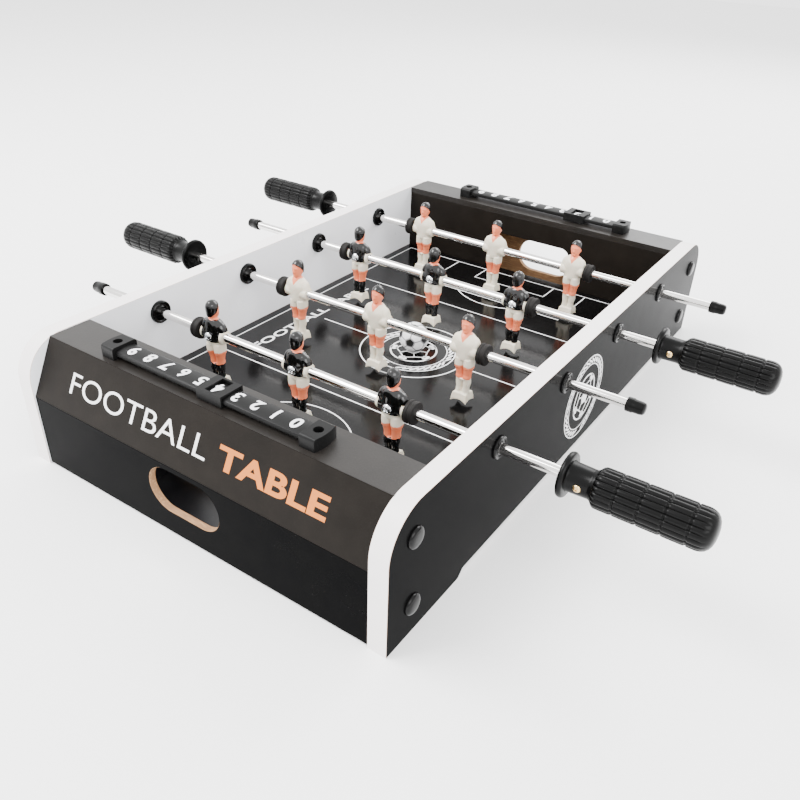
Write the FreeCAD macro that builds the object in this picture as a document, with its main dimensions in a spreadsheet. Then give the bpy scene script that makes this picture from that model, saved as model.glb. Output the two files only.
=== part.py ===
"""Tabletop foosball table, as a parametric FreeCAD document.

Millimetres. +X is across the table, along the rods. +Y is along the pitch, from the near goal to the
far goal. +Z is up. The origin is on the floor, under the middle of the pitch.
Rods are numbered 1 to 4 from the near goal. Rods 1 and 3 carry the dark team, which faces the far goal,
and have their handles at +X. Rods 2 and 4 carry the light team, and are turned half a turn about Z.
"""
import FreeCAD, Part
import collections
import os
import Sketcher

doc = FreeCAD.newDocument("foosball_table")
AXIS_Y = FreeCAD.Vector(0, 1, 0)
AXIS_Z = FreeCAD.Vector(0, 0, 1)

# ---------------------------------------------------------------- driving dimensions

DRIVING = (
    ("table_length", 510, "side board, end to end"),
    ("table_width", 310, "outside to outside of the side boards"),
    ("side_height", 95, "floor to the top of the side boards"),
    ("side_board", 13, "side board thickness"),
    ("corner_radius", 30, "rounding of the side board's top corners"),
    ("foot_length", 76, "flat length of each foot"),
    ("foot_lift", 5, "clearance under a side board between its feet"),
    ("end_board", 5, "thickness of the goal wall, top, slope and front boards"),
    ("end_inset", 1, "front board behind the end of the side board"),
    ("top_drop", 0.5, "top board below the side board's edge"),
    ("front_lift", 1, "front board above the floor"),
    ("wall_reach", 202, "pitch centre to the goal wall"),
    ("top_depth", 32, "top board, goal wall to fold"),
    ("slope_depth", 20, "run of the slope"),
    ("slope_height", 56, "floor to the slope's lower edge"),
    ("pitch_height", 31, "floor to the playing surface"),
    ("pitch_board", 3, "pitch board thickness"),
    ("pitch_groove", 4, "depth of the groove that holds the pitch board"),
    ("goal_width", 90, "goal mouth"),
    ("goal_height", 39, "goal mouth above the pitch"),
    ("goal_corner", 8, "rounding of the goal mouth's top corners"),
    ("exit_width", 61, "ball exit, end to end"),
    ("exit_height", 33, "ball exit"),
    ("exit_bottom", 19, "floor to the ball exit"),
    ("tray_width", 120, "ball tray"),
    ("tray_floor", 6, "floor to the tray's underside"),
    ("tray_board", 3, "tray thickness"),
    ("tray_lip", 14, "tray side height"),
    ("tray_gap", 0.2, "gap at each end of the tray"),
    ("batten_width", 15, "batten under the pitch"),
    ("batten_foot", 9, "floor to the battens and corner blocks"),
    ("block_length", 20, "corner block, along X"),
    ("block_near", 219, "pitch centre to the corner block"),
    ("block_far", 237, "pitch centre to the corner block's outer face"),
    ("screw_reach", 231, "pitch centre to the side screws"),
    ("screw_low", 22, "floor to the lower side screws"),
    ("screw_high", 71, "floor to the upper side screws"),
    ("screw_shank", 5, "side screw diameter"),
    ("screw_head", 9, "side screw head diameter"),
    ("head_depth", 4, "side screw head"),
    ("screw_length", 32, "side screw, head included"),
    ("cap_diameter", 14, "screw cover cap"),
    ("cap_height", 2.6, "screw cover cap"),
    ("cap_round", 1.8, "rounding of the cover cap"),
    ("rod_height", 78, "floor to the rod axis"),
    ("rod_inner", 47, "pitch centre to rods 2 and 3"),
    ("rod_outer", 142, "pitch centre to rods 1 and 4"),
    ("rod_diameter", 7, "rod"),
    ("rod_play", 0.08, "radial running clearance on a rod"),
    ("fit_gap", 0.05, "radial gap around a fixed shank"),
    ("bushing_barrel", 12, "bushing barrel diameter"),
    ("bushing_flange", 15.5, "bushing flange diameter, outside"),
    ("flange_depth", 1.7, "bushing flange"),
    ("collar_diameter", 18, "bushing collar, inside"),
    ("collar_depth", 3, "bushing collar"),
    ("first_rest", -2.5, "rod 1 at rest, slid along X from the middle"),
    ("second_rest", -4.5, "rod 2 at rest"),
    ("third_rest", -13, "rod 3 at rest"),
    ("fourth_rest", -5, "rod 4 at rest"),
    ("player_pitch", 80, "player to player along a rod"),
    ("bumper_reach", 95, "table centre to the middle of a bumper ring"),
    ("bumper_width", 7, "bumper ring"),
    ("bumper_diameter", 16, "bumper ring"),
    ("handle_reach", 200, "table centre to the handle flange"),
    ("handle_length", 88, "handle, flange included"),
    ("handle_flange", 28, "flange diameter"),
    ("flange_plate", 4, "flange thickness"),
    ("handle_neck", 18, "neck diameter"),
    ("neck_length", 15, "neck"),
    ("handle_grip", 25, "grip diameter"),
    ("grip_round", 8, "rounding of the grip's outer end"),
    ("grip_shoulder", 3, "rounding of the grip's inner end"),
    ("handle_bore", 38, "depth of the rod's socket in the handle"),
    ("rib_count", 20, "ribs around the grip"),
    ("rib_groove", 1.5, "width of a groove between ribs"),
    ("rib_depth", 1, "depth of a groove"),
    ("band_count", 5, "bands of ribs along the grip"),
    ("cap_inner", 203, "table centre to the rod cap's inner end"),
    ("cap_outer", 216, "table centre to the rod cap's outer end"),
    ("rod_cap", 10, "rod cap diameter"),
    ("cap_wall", 2, "rod cap, closed end"),
    ("small_shank", 2.5, "player, handle and score screw diameter"),
    ("small_length", 12, "the same screws, under the head"),
    ("small_head", 5, "handle and score screw head diameter"),
    ("small_dome", 1.6, "handle and score screw head height"),
    ("player_head", 7, "player screw head diameter"),
    ("player_dome", 2.2, "player screw head height"),
    ("torso_width", 21, "player's shoulders, along X"),
    ("torso_depth", 13, "player's chest, along Y"),
    ("shoulder_height", 13, "rod axis to the shoulders"),
    ("waist_drop", 12, "rod axis down to the shorts"),
    ("hub_diameter", 11, "player's hub around the rod"),
    ("hub_width", 22, "player's hub, along X"),
    ("head_diameter", 10, "player's head"),
    ("head_centre", 22, "rod axis to the middle of the head"),
    ("leg_width", 14, "both legs at the hips"),
    ("ankle_width", 11, "both legs at the ankles"),
    ("leg_depth", 9, "legs"),
    ("foot_top", 37, "rod axis down to the top of the foot block"),
    ("foot_drop", 44, "rod axis down to the sole"),
    ("foot_width", 14, "foot block, along X"),
    ("foot_depth", 12.5, "foot block, along Y"),
    ("ball_diameter", 25, "ball"),
    ("rest_gap", 0.3, "gap under the ball"),
    ("score_reach", 220.5, "pitch centre to the middle of a score bar"),
    ("score_shift", 2.5, "middle of a score bar off the centre line, to the left of its end's player"),
    ("score_half", 90.5, "middle of a score bar to the end of its end block"),
    ("score_block", 12.5, "end block, along X"),
    ("block_bow", 1.5, "bulge of an end block's outer end"),
    ("block_width", 19.5, "end block, along Y"),
    ("block_height", 8.5, "end block"),
    ("bar_width", 15, "numbered bar, along Y"),
    ("bar_lift", 2.6, "gap under the numbered bar"),
    ("bar_edge", 3, "numbered bar at its edges"),
    ("bar_crown", 4, "numbered bar at its middle"),
    ("digit_pitch", 15.2, "digit to digit on the bar"),
    ("slider_length", 20.5, "score slider, along X"),
    ("slider_wall", 1.5, "score slider wall"),
    ("slider_play", 0.2, "gap around the bar inside the slider"),
    ("slider_window", 9, "window in the slider, along X"),
    ("window_width", 15, "window in the slider, along Y"),
    ("seat_height", 4.5, "top board to the seat of a score screw"),
    ("seat_hole", 6.2, "hole above a score screw's head"),
    ("near_score", 4, "digit shown by the near slider"),
    ("far_score", 2, "digit shown by the far slider"),
)

sheet = doc.addObject("Spreadsheet::Sheet", "dims")
sheet.Label = "driving dimensions"
for row, (alias, value, note) in enumerate(DRIVING, 1):
    sheet.set(f"A{row}", note)
    sheet.set(f"B{row}", str(value))
    sheet.setAlias(f"B{row}", alias)
doc.recompute()


class Dim:
    """A size worked out from the sheet: its value now, and the expression that keeps it current."""

    def __init__(self, value, text):
        self.value = value
        self.text = text

    def _with(self, other, sign, value):
        return Dim(value, f"({self.text} {sign} {text_of(other)})")

    def __add__(self, other):
        return self._with(other, "+", self.value + value_of(other))

    def __sub__(self, other):
        return self._with(other, "-", self.value - value_of(other))

    def __mul__(self, other):
        return self._with(other, "*", self.value * value_of(other))

    __rmul__ = __mul__

    def __truediv__(self, other):
        return self._with(other, "/", self.value / value_of(other))

    def __neg__(self):
        return Dim(-self.value, f"(0 - {self.text})")

    def root(self):
        return Dim(self.value ** 0.5, f"sqrt({self.text})")


def value_of(size):
    return size.value if isinstance(size, Dim) else size


def text_of(size):
    return size.text if isinstance(size, Dim) else str(size)


class Sheet:
    """The driving dimensions by name, each one a Dim."""

    def __getattr__(self, alias):
        return Dim(float(sheet.get(alias)), f"dims.{alias}")


d = Sheet()

# sizes that several pieces share
inner_x = d.table_width / 2 - d.side_board
pitch_z = d.pitch_height
wall_back = d.wall_reach + d.end_board
top_z = d.side_height - d.top_drop
under_top = top_z - d.end_board
fold_y = d.wall_reach + d.top_depth
front_y = d.table_length / 2 - d.end_inset
front_back = front_y - d.end_board
slope_y = front_y - fold_y
slope_z = top_z - d.slope_height
slope_length = (slope_y * slope_y + slope_z * slope_z).root()
# a point on the slope's inner face, straight in from the top fold
inner_y = fold_y - d.end_board * slope_z / slope_length
inner_z = top_z - d.end_board * slope_y / slope_length
top_mitre_y = inner_y + (inner_z - under_top) * slope_y / slope_z
foot_mitre_z = inner_z - (front_back - inner_y) * slope_z / slope_y

# ---------------------------------------------------------------- modelling helpers


def bind(thing, **sizes):
    """Set each property to its size and bind it to the sheet."""
    for name, size in sizes.items():
        setattr(thing, name, value_of(size))
        if isinstance(size, Dim):
            thing.setExpression(name, size.text)
    return thing


def place(thing, x=0, y=0, z=0, turn=0, axis=AXIS_Z):
    """Put an object at x, y, z, turned about an axis, and bind the place to the sheet."""
    spot = FreeCAD.Vector(value_of(x), value_of(y), value_of(z))
    thing.Placement = FreeCAD.Placement(spot, FreeCAD.Rotation(axis, turn))
    for name, size in (("x", x), ("y", y), ("z", z)):
        if isinstance(size, Dim):
            thing.setExpression(f".Placement.Base.{name}", size.text)
    return thing


def new_body(name):
    body = doc.addObject("PartDesign::Body", name)
    body.Label = name
    return body


def new_sketch(body, plane, offset=0):
    """A sketch on one of the body's own origin planes, moved along the plane's normal by offset."""
    sketch = body.newObject("Sketcher::SketchObject", "sketch")
    datum = [item for item in body.Origin.OriginFeatures if item.Role == plane][0]
    sketch.AttachmentSupport = [(datum, "")]
    sketch.MapMode = "FlatFace"
    sketch.AttachmentOffset = FreeCAD.Placement(FreeCAD.Vector(0, 0, value_of(offset)), FreeCAD.Rotation())
    if isinstance(offset, Dim):
        sketch.setExpression(".AttachmentOffset.Base.z", offset.text)
    return sketch


def pin_point(sketch, geometry, end, point):
    """Hold one end of a sketch element at a point measured from the sketch's origin."""
    for kind, size in (("DistanceX", point[0]), ("DistanceY", point[1])):
        index = sketch.addConstraint(Sketcher.Constraint(kind, -1, 1, geometry, end, value_of(size)))
        if isinstance(size, Dim):
            sketch.setExpression(f"Constraints[{index}]", size.text)


def vector(point):
    return FreeCAD.Vector(value_of(point[0]), value_of(point[1]), 0)


def add_outline(sketch, points):
    """A closed outline. A corner alone starts a line, and one with a middle point starts an arc.

    The arc has the radius that follows, or else carries on smoothly from the line before it.
    """
    corners = [entry[:2] for entry in points]
    first = sketch.GeometryCount
    for index, entry in enumerate(points):
        stop = corners[(index + 1) % len(corners)]
        if len(entry) == 2:
            sketch.addGeometry(Part.LineSegment(vector(entry), vector(stop)))
        else:
            sketch.addGeometry(Part.Arc(vector(entry), vector(entry[2]), vector(stop)))
    for index, corner in enumerate(corners):
        before = first + (index - 1) % len(corners)
        after = first + index
        ends = (before, end_at(sketch, before, corner), after, end_at(sketch, after, corner))
        pin_point(sketch, after, ends[3], corner)
        joint = "Tangent" if len(points[index]) == 3 else "Coincident"
        sketch.addConstraint(Sketcher.Constraint(joint, *ends))
    for index, entry in enumerate(points):
        if len(entry) == 4:
            pin_size(sketch, "Radius", first + index, entry[3])


def end_at(sketch, geometry, corner):
    """Which end of a sketch element, 1 or 2, lies at the corner."""
    reach = [(sketch.getPoint(geometry, end) - vector(corner)).Length for end in (1, 2)]
    return 1 if reach[0] <= reach[1] else 2


def pin_size(sketch, kind, geometry, size):
    index = sketch.addConstraint(Sketcher.Constraint(kind, geometry, value_of(size)))
    if isinstance(size, Dim):
        sketch.setExpression(f"Constraints[{index}]", size.text)


def add_circle(sketch, centre, diameter):
    circle = Part.Circle(vector(centre), AXIS_Z, value_of(diameter) / 2)
    geometry = sketch.addGeometry(circle)
    pin_point(sketch, geometry, 3, centre)
    pin_size(sketch, "Diameter", geometry, diameter)


def add_box(sketch, low, high):
    add_outline(sketch, [low, (high[0], low[1]), high, (low[0], high[1])])


def pad(body, sketch, length, both_ways=False):
    feature = body.newObject("PartDesign::Pad", "pad")
    feature.Profile = sketch
    feature.Midplane = both_ways
    return bind(feature, Length=length)


def pocket(body, sketch, length, both_ways=False):
    feature = body.newObject("PartDesign::Pocket", "pocket")
    feature.Profile = sketch
    feature.Midplane = both_ways
    return bind(feature, Length=length)


def revolve(body, sketch):
    """Turn a profile about the sketch's horizontal axis."""
    feature = body.newObject("PartDesign::Revolution", "revolution")
    feature.Profile = sketch
    feature.ReferenceAxis = (sketch, ["H_Axis"])
    feature.Angle = 360
    return feature


def round_edges(body, feature, radius, wanted):
    """Fillet the edges whose centre passes the test."""
    doc.recompute()
    names = []
    for index, edge in enumerate(feature.Shape.Edges, 1):
        if wanted(edge.CenterOfMass, edge):
            names.append(f"Edge{index}")
    fillet = body.newObject("PartDesign::Fillet", "fillet")
    fillet.Base = (feature, names)
    return bind(fillet, Radius=radius)


def group(name, members):
    """Several loose solids of one kind, as one sub-part."""
    compound = doc.addObject("Part::Compound", name)
    compound.Label = name
    compound.Links = members
    return compound


def turned(name, profile):
    """A body turned about X, from points (distance along X, radius)."""
    body = new_body(name)
    sketch = new_sketch(body, "XY_Plane")
    add_outline(sketch, profile)
    return body, revolve(body, sketch)


def ring_profile(start, stop, inner, outer):
    """Half section of a ring between two places along X, from its two diameters."""
    return [(start, inner / 2), (start, outer / 2), (stop, outer / 2), (stop, inner / 2)]


def drill(body, plane, spots, diameter, length, offset=0, both_ways=True):
    """Round holes of one size, square to one of the body's planes."""
    sketch = new_sketch(body, plane, offset)
    for spot in spots:
        add_circle(sketch, spot, diameter)
    return pocket(body, sketch, length, both_ways=both_ways)


ENDS = (("near", 0), ("far", 180))
Rod = collections.namedtuple("Rod", "number reach rest side turn")
RODS = (Rod(1, -d.rod_outer, d.first_rest, 1, 0), Rod(2, -d.rod_inner, d.second_rest, -1, 180),
        Rod(3, d.rod_inner, d.third_rest, 1, 0), Rod(4, d.rod_outer, d.fourth_rest, -1, 180))
ROD_SPOTS = [(rod.reach, d.rod_height) for rod in RODS]
SCREW_SPOTS = [(sign * d.screw_reach, z) for sign in (-1, 1) for z in (d.screw_low, d.screw_high)]
THROUGH = 4      # board thicknesses in a hole that goes right through, half of them on each side
OVERSHOOT = 1    # how far a cut starts outside its piece, in millimetres
EDGE_NEAR = 0.1  # how near an edge is to the place it is looked for, in millimetres
running_bore = d.rod_diameter + 2 * d.rod_play
socket = d.rod_diameter / 2 + d.fit_gap
small_hole = d.small_shank + 2 * d.fit_gap
score_spot = d.score_half - d.score_block / 2
handle_screw_x = d.handle_reach + d.flange_plate + d.neck_length / 2

# ---------------------------------------------------------------- cabinet


def side_board(name, sign, turn):
    """A side board. Its own x runs from the inner face, at 0, to the outer face."""
    body = new_body(name)
    outline = new_sketch(body, "YZ_Plane")
    end = d.table_length / 2
    foot = end - d.foot_length
    rise = foot - d.foot_lift
    high = d.side_height
    add_outline(outline, [(-end, 0), (-foot, 0), (-rise, d.foot_lift), (rise, d.foot_lift),
                          (foot, 0), (end, 0), (end, high), (-end, high)])
    board = pad(body, outline, d.side_board)

    def top_corner(centre, edge):
        return centre.z > high.value - EDGE_NEAR and abs(centre.y) > end.value - EDGE_NEAR

    round_edges(body, board, d.corner_radius, top_corner)
    groove = new_sketch(body, "YZ_Plane")
    add_box(groove, (-wall_back, pitch_z - d.pitch_board), (wall_back, pitch_z))
    pocket(body, groove, 2 * d.pitch_groove, both_ways=True)
    through = THROUGH * d.side_board
    drill(body, "YZ_Plane", ROD_SPOTS, d.bushing_barrel + 2 * d.fit_gap, through)
    drill(body, "YZ_Plane", SCREW_SPOTS, d.screw_shank + 2 * d.fit_gap, through)
    drill(body, "YZ_Plane", SCREW_SPOTS, d.screw_head + 2 * d.fit_gap, 2 * d.head_depth, d.side_board)
    place(body, x=sign * inner_x, turn=turn)


def pitch():
    """The pitch board, which slides into the side boards' grooves and runs under both goal walls."""
    body = new_body("pitch_board")
    sketch = new_sketch(body, "XY_Plane", pitch_z - d.pitch_board)
    half = inner_x + d.pitch_groove
    add_box(sketch, (-half, -wall_back), (half, wall_back))
    pad(body, sketch, d.pitch_board)


def battens():
    """Three battens that carry the pitch board, one in the middle and one under each goal wall."""
    members = []
    for index, start in enumerate((-wall_back, -d.batten_width / 2, wall_back - d.batten_width)):
        box = doc.addObject("Part::Box", f"batten_{index + 1}")
        bind(box, Length=2 * inner_x, Width=d.batten_width, Height=pitch_z - d.pitch_board - d.batten_foot)
        members.append(place(box, x=-inner_x, y=start, z=d.batten_foot))
    group("pitch_battens", members)


def goal_wall(name, turn):
    """The wall that faces the pitch, with the goal mouth. Modelled at the near end."""
    body = new_body(name)
    wall = new_sketch(body, "XZ_Plane", d.wall_reach)
    half = d.goal_width / 2
    bar = pitch_z + d.goal_height
    add_outline(wall, [(-inner_x, pitch_z), (-half, pitch_z), (-half, bar), (half, bar), (half, pitch_z),
                       (inner_x, pitch_z), (inner_x, under_top), (-inner_x, under_top)])
    board = pad(body, wall, d.end_board)

    def mouth_corner(centre, edge):
        return abs(abs(centre.x) - half.value) < EDGE_NEAR and abs(centre.z - bar.value) < EDGE_NEAR

    round_edges(body, board, d.goal_corner, mouth_corner)
    place(body, turn=turn)


def folded_board(name, turn, profile):
    """A board across the end, from its section in Y and Z. Modelled at the near end."""
    body = new_body(name)
    section = new_sketch(body, "YZ_Plane")
    add_outline(section, profile)
    pad(body, section, 2 * inner_x, both_ways=True)
    return place(body, turn=turn)


def top_board(name, turn):
    body = folded_board(name, turn, [(-d.wall_reach, top_z), (-d.wall_reach, under_top),
                                     (-top_mitre_y, under_top), (-fold_y, top_z)])
    spots = [(way * score_spot - d.score_shift, -d.score_reach) for way in (-1, 1)]
    drill(body, "XY_Plane", spots, small_hole, THROUGH * d.end_board, top_z)


def slope_board(name, turn):
    folded_board(name, turn, [(-fold_y, top_z), (-top_mitre_y, under_top),
                              (-front_back, foot_mitre_z), (-front_y, d.slope_height)])


def front_board(name, turn):
    """The board at the very end, with the obround hole that the ball is taken out of."""
    body = folded_board(name, turn, [(-front_y, d.slope_height), (-front_back, foot_mitre_z),
                                     (-front_back, d.front_lift), (-front_y, d.front_lift)])
    low = d.exit_bottom
    high = low + d.exit_height
    middle = low + d.exit_height / 2
    radius = d.exit_height / 2
    end = d.exit_width / 2
    straight = end - radius
    hole = new_sketch(body, "XZ_Plane", front_y)
    add_outline(hole, [(-straight, low), (straight, low, (end, middle)), (straight, high),
                       (-straight, high, (-end, middle))])
    pocket(body, hole, THROUGH * d.end_board, both_ways=True)


def ball_tray(name, turn):
    """The shallow channel that catches the ball behind a goal wall."""
    body = new_body(name)
    section = new_sketch(body, "XZ_Plane", wall_back + d.tray_gap)
    out = d.tray_width / 2
    inside = out - d.tray_board
    low = d.tray_floor
    floor = low + d.tray_board
    lip = low + d.tray_lip
    add_outline(section, [(-out, low), (out, low), (out, lip), (inside, lip), (inside, floor),
                          (-inside, floor), (-inside, lip), (-out, lip)])
    pad(body, section, front_back - wall_back - 2 * d.tray_gap)
    place(body, turn=turn)


def corner_blocks(name, turn):
    """Two upright blocks in the corners of an end box. The side screws bite into them."""
    members = []
    slant_z = inner_z - (d.block_far - inner_y) * slope_z / slope_y
    for side, start in (("left", -inner_x), ("right", inner_x - d.block_length)):
        body = doc.addObject("PartDesign::Body", f"{name}_{side}")
        section = new_sketch(body, "YZ_Plane", start)
        add_outline(section, [(-d.block_near, d.batten_foot), (-d.block_near, under_top),
                              (-top_mitre_y, under_top), (-d.block_far, slant_z),
                              (-d.block_far, d.batten_foot)])
        pad(body, section, d.block_length)
        spots = [spot for spot in SCREW_SPOTS if value_of(spot[0]) < 0]
        drill(body, "YZ_Plane", spots, d.screw_shank + 2 * d.fit_gap, THROUGH * inner_x)
        members.append(body)
    place(group(name, members), turn=turn)


# ---------------------------------------------------------------- side screws and bushings


def both_sides(name, profile, spots, finish=None):
    """A turned piece at each spot of both side boards. Its x runs from the outer face inwards."""
    members = []
    for side, sign, turn in (("left", -1, 0), ("right", 1, 180)):
        for index, (y, z) in enumerate(spots, 1):
            body, turning = turned(f"{name}_{side}_{index}", profile)
            if finish:
                finish(body, turning)
            members.append(place(body, x=sign * d.table_width / 2, y=y, z=z, turn=turn))
    group(name, members)


def side_screws():
    shank = d.screw_shank / 2
    head = d.screw_head / 2
    both_sides("side_screws", [(0, 0), (0, head), (d.head_depth, head), (d.head_depth, shank),
                               (d.screw_length, shank), (d.screw_length, 0)], SCREW_SPOTS)


def screw_caps():
    """Domed covers over the side screws."""
    rim = d.cap_diameter / 2

    def dome(body, turning):
        round_edges(body, turning, d.cap_round,
                    lambda centre, edge: centre.x < EDGE_NEAR - d.cap_height.value)

    both_sides("screw_caps", [(-d.cap_height, 0), (-d.cap_height, rim), (0, rim), (0, 0)], SCREW_SPOTS, dome)


def bushings():
    """Flanged bushings pushed in from outside, each held by a collar on the inner face."""
    bore = running_bore / 2
    barrel = d.bushing_barrel / 2
    flange = d.bushing_flange / 2
    inner_end = d.side_board + d.collar_depth
    both_sides("rod_bushings", [(-d.flange_depth, bore), (-d.flange_depth, flange), (0, flange), (0, barrel),
                                (inner_end, barrel), (inner_end, bore)], ROD_SPOTS)
    both_sides("bushing_collars", ring_profile(d.side_board, inner_end, d.bushing_barrel + 2 * d.fit_gap,
                                               d.collar_diameter), ROD_SPOTS)


# ---------------------------------------------------------------- rods and what they carry


def on_rod(thing, rod, along=0):
    """Place a piece on a rod's axis, at a distance along the rod towards its handle."""
    return place(thing, x=rod.rest + rod.side * along, y=rod.reach, z=d.rod_height, turn=rod.turn)


def steel_rod(rod):
    start = d.cap_wall - d.cap_outer
    stop = d.handle_reach + d.handle_bore
    radius = d.rod_diameter / 2
    body, turning = turned(f"rod_{rod.number}", [(start, 0), (start, radius), (stop, radius), (stop, 0)])
    spots = [(-d.player_pitch, 0), (0, 0), (d.player_pitch, 0), (handle_screw_x, 0)]
    drill(body, "XZ_Plane", spots, small_hole, THROUGH * d.rod_diameter)
    on_rod(body, rod)


def rod_cap(rod):
    """The blind cap over the rod's plain end."""
    rim = d.rod_cap / 2
    depth = d.cap_outer - d.cap_wall
    body, turning = turned(f"rod_cap_{rod.number}", [
        (-d.cap_inner, socket), (-d.cap_inner, rim), (-d.cap_outer, rim), (-d.cap_outer, 0),
        (-depth, 0), (-depth, socket)])
    round_edges(body, turning, d.rod_cap / 8, lambda centre, edge: centre.x < EDGE_NEAR - d.cap_outer.value)
    on_rod(body, rod)


def bumpers(rod):
    """Two rings that stop the outer players short of the side boards."""
    members = []
    half = d.bumper_width / 2
    for side, sign in (("outer", -1), ("handle", 1)):
        body, turning = turned(f"bumper_{rod.number}_{side}",
                               ring_profile(-half, half, running_bore, d.bumper_diameter))
        members.append(on_rod(body, rod, sign * d.bumper_reach))
    group(f"bumpers_{rod.number}", members)


def handle(rod):
    """A moulded handle: flange, neck and ribbed grip. Its own x runs outwards from the flange."""
    plate = d.flange_plate
    grip_start = plate + d.neck_length
    length = d.handle_length
    flange = d.handle_flange / 2
    neck = d.handle_neck / 2
    grip = d.handle_grip / 2
    body, turning = turned(f"handle_{rod.number}", [
        (0, socket), (0, flange), (plate, flange), (plate, neck), (grip_start, neck), (grip_start, grip),
        (length, grip), (length, 0), (d.handle_bore, 0), (d.handle_bore, socket)])

    def grip_rim(x):
        def test(centre, edge):
            if abs(centre.x - x.value) > EDGE_NEAR or not hasattr(edge.Curve, "Radius"):
                return False
            return abs(edge.Curve.Radius - grip.value) < EDGE_NEAR
        return test

    rounded = round_edges(body, turning, d.grip_round, grip_rim(length))
    round_edges(body, rounded, d.grip_shoulder, grip_rim(grip_start))

    grooves = new_sketch(body, "XY_Plane")
    band = (length - grip_start) / d.band_count
    half = d.rib_groove / 2
    for step in range(1, int(d.band_count.value)):
        middle = grip_start + step * band
        add_box(grooves, (middle - half, grip - d.rib_depth), (middle + half, grip + OVERSHOOT))
    rings = body.newObject("PartDesign::Groove", "ring_grooves")
    rings.Profile = grooves
    rings.ReferenceAxis = (grooves, ["H_Axis"])
    rings.Angle = 360

    slot = new_sketch(body, "XZ_Plane")
    add_box(slot, (grip_start - OVERSHOOT, grip - d.rib_depth), (length - half, grip + OVERSHOOT))
    cut = pocket(body, slot, d.rib_groove, both_ways=True)
    ribs = body.newObject("PartDesign::PolarPattern", "rib_grooves")
    ribs.Originals = [cut]
    ribs.Axis = ([item for item in body.Origin.OriginFeatures if item.Role == "X_Axis"][0], [""])
    ribs.Angle = 360
    ribs.Occurrences = int(d.rib_count.value)
    ribs.setExpression("Occurrences", d.rib_count.text)
    body.Tip = ribs
    doc.recompute()
    drill(body, "XZ_Plane", [(handle_screw_x - d.handle_reach, 0)], small_hole,
          d.small_length + OVERSHOOT, neck + OVERSHOOT, both_ways=False)
    on_rod(body, rod, d.handle_reach)


def player(name, rod, along):
    """A player with its hub on the rod. It faces +Y before it is turned."""
    body = new_body(name)
    high = d.shoulder_height
    waist = -d.waist_drop
    shoulder = d.torso_width / 2
    hip = d.leg_width / 2
    ankle = d.ankle_width / 2
    sole = -d.foot_drop
    instep = -d.foot_top

    torso = new_sketch(body, "XZ_Plane")
    add_outline(torso, [(-hip, waist), (hip, waist), (shoulder, waist / 3), (shoulder, high / 2),
                        (hip, high), (-hip, high), (-shoulder, high / 2), (-shoulder, waist / 3)])
    pad(body, torso, d.torso_depth, both_ways=True)
    legs = new_sketch(body, "XZ_Plane")
    add_outline(legs, [(-ankle, instep), (ankle, instep), (hip, waist), (-hip, waist)])
    pad(body, legs, d.leg_depth, both_ways=True)
    foot = new_sketch(body, "YZ_Plane")
    add_box(foot, (-d.foot_depth / 2, sole), (d.foot_depth / 2, instep))
    pad(body, foot, d.foot_width, both_ways=True)
    hub = new_sketch(body, "YZ_Plane")
    add_circle(hub, (0, 0), d.hub_diameter)
    pad(body, hub, d.hub_width, both_ways=True)
    neck = new_sketch(body, "XY_Plane", high)
    add_circle(neck, (0, 0), d.head_diameter * 2 / 3)
    pad(body, neck, d.head_centre - high)
    head = body.newObject("PartDesign::AdditiveSphere", "head")
    bind(head, Radius=d.head_diameter / 2)
    place(head, z=d.head_centre)
    drill(body, "YZ_Plane", [(0, 0)], 2 * socket, THROUGH * d.hub_width)
    back = d.torso_depth / 2
    drill(body, "XZ_Plane", [(0, 0)], small_hole, d.small_length + OVERSHOOT, back + OVERSHOOT,
          both_ways=False)
    on_rod(body, rod, along)


def small_screw(name, diameter, dome):
    """A dome-headed screw. It points along +X, and the underside of its head is at 0."""
    shank = d.small_shank / 2
    head = diameter / 2
    body, turning = turned(name, [(-dome, 0), (-dome, head), (0, head), (0, shank),
                                  (d.small_length, shank), (d.small_length, 0)])
    round_edges(body, turning, dome * 2 / 3, lambda centre, edge: centre.x < EDGE_NEAR - dome.value)
    return body


def rod_screws(rod):
    """The screws that pin the players and the handle to their rod, all from the players' backs."""
    spots = [(along * d.player_pitch, d.torso_depth / 2, d.player_head, d.player_dome)
             for along in (-1, 0, 1)]
    spots.append((handle_screw_x, d.handle_neck / 2, d.small_head, d.small_dome))
    members = []
    for index, (along, depth, head, dome) in enumerate(spots, 1):
        body = small_screw(f"rod_screw_{rod.number}_{index}", head, dome)
        members.append(place(body, x=rod.rest + rod.side * along, y=rod.reach - rod.side * depth,
                             z=d.rod_height, turn=rod.turn + 90))
    group(f"rod_screws_{rod.number}", members)


# ---------------------------------------------------------------- score counters and ball


def score_bar(name, sign):
    """The numbered bar, held clear of the top board."""
    body = new_body(name)
    section = new_sketch(body, "YZ_Plane")
    low = d.bar_lift
    edge = low + d.bar_edge
    crown = low + d.bar_crown
    half = d.bar_width / 2
    rise = d.bar_crown - d.bar_edge
    radius = (half * half + rise * rise) / (2 * rise)
    add_outline(section, [(-half, low), (half, low), (half, edge, (0, crown), radius), (-half, edge)])
    pad(body, section, 2 * (d.score_half - d.score_block), both_ways=True)
    place(body, x=sign * d.score_shift, y=sign * d.score_reach, z=top_z)


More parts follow.
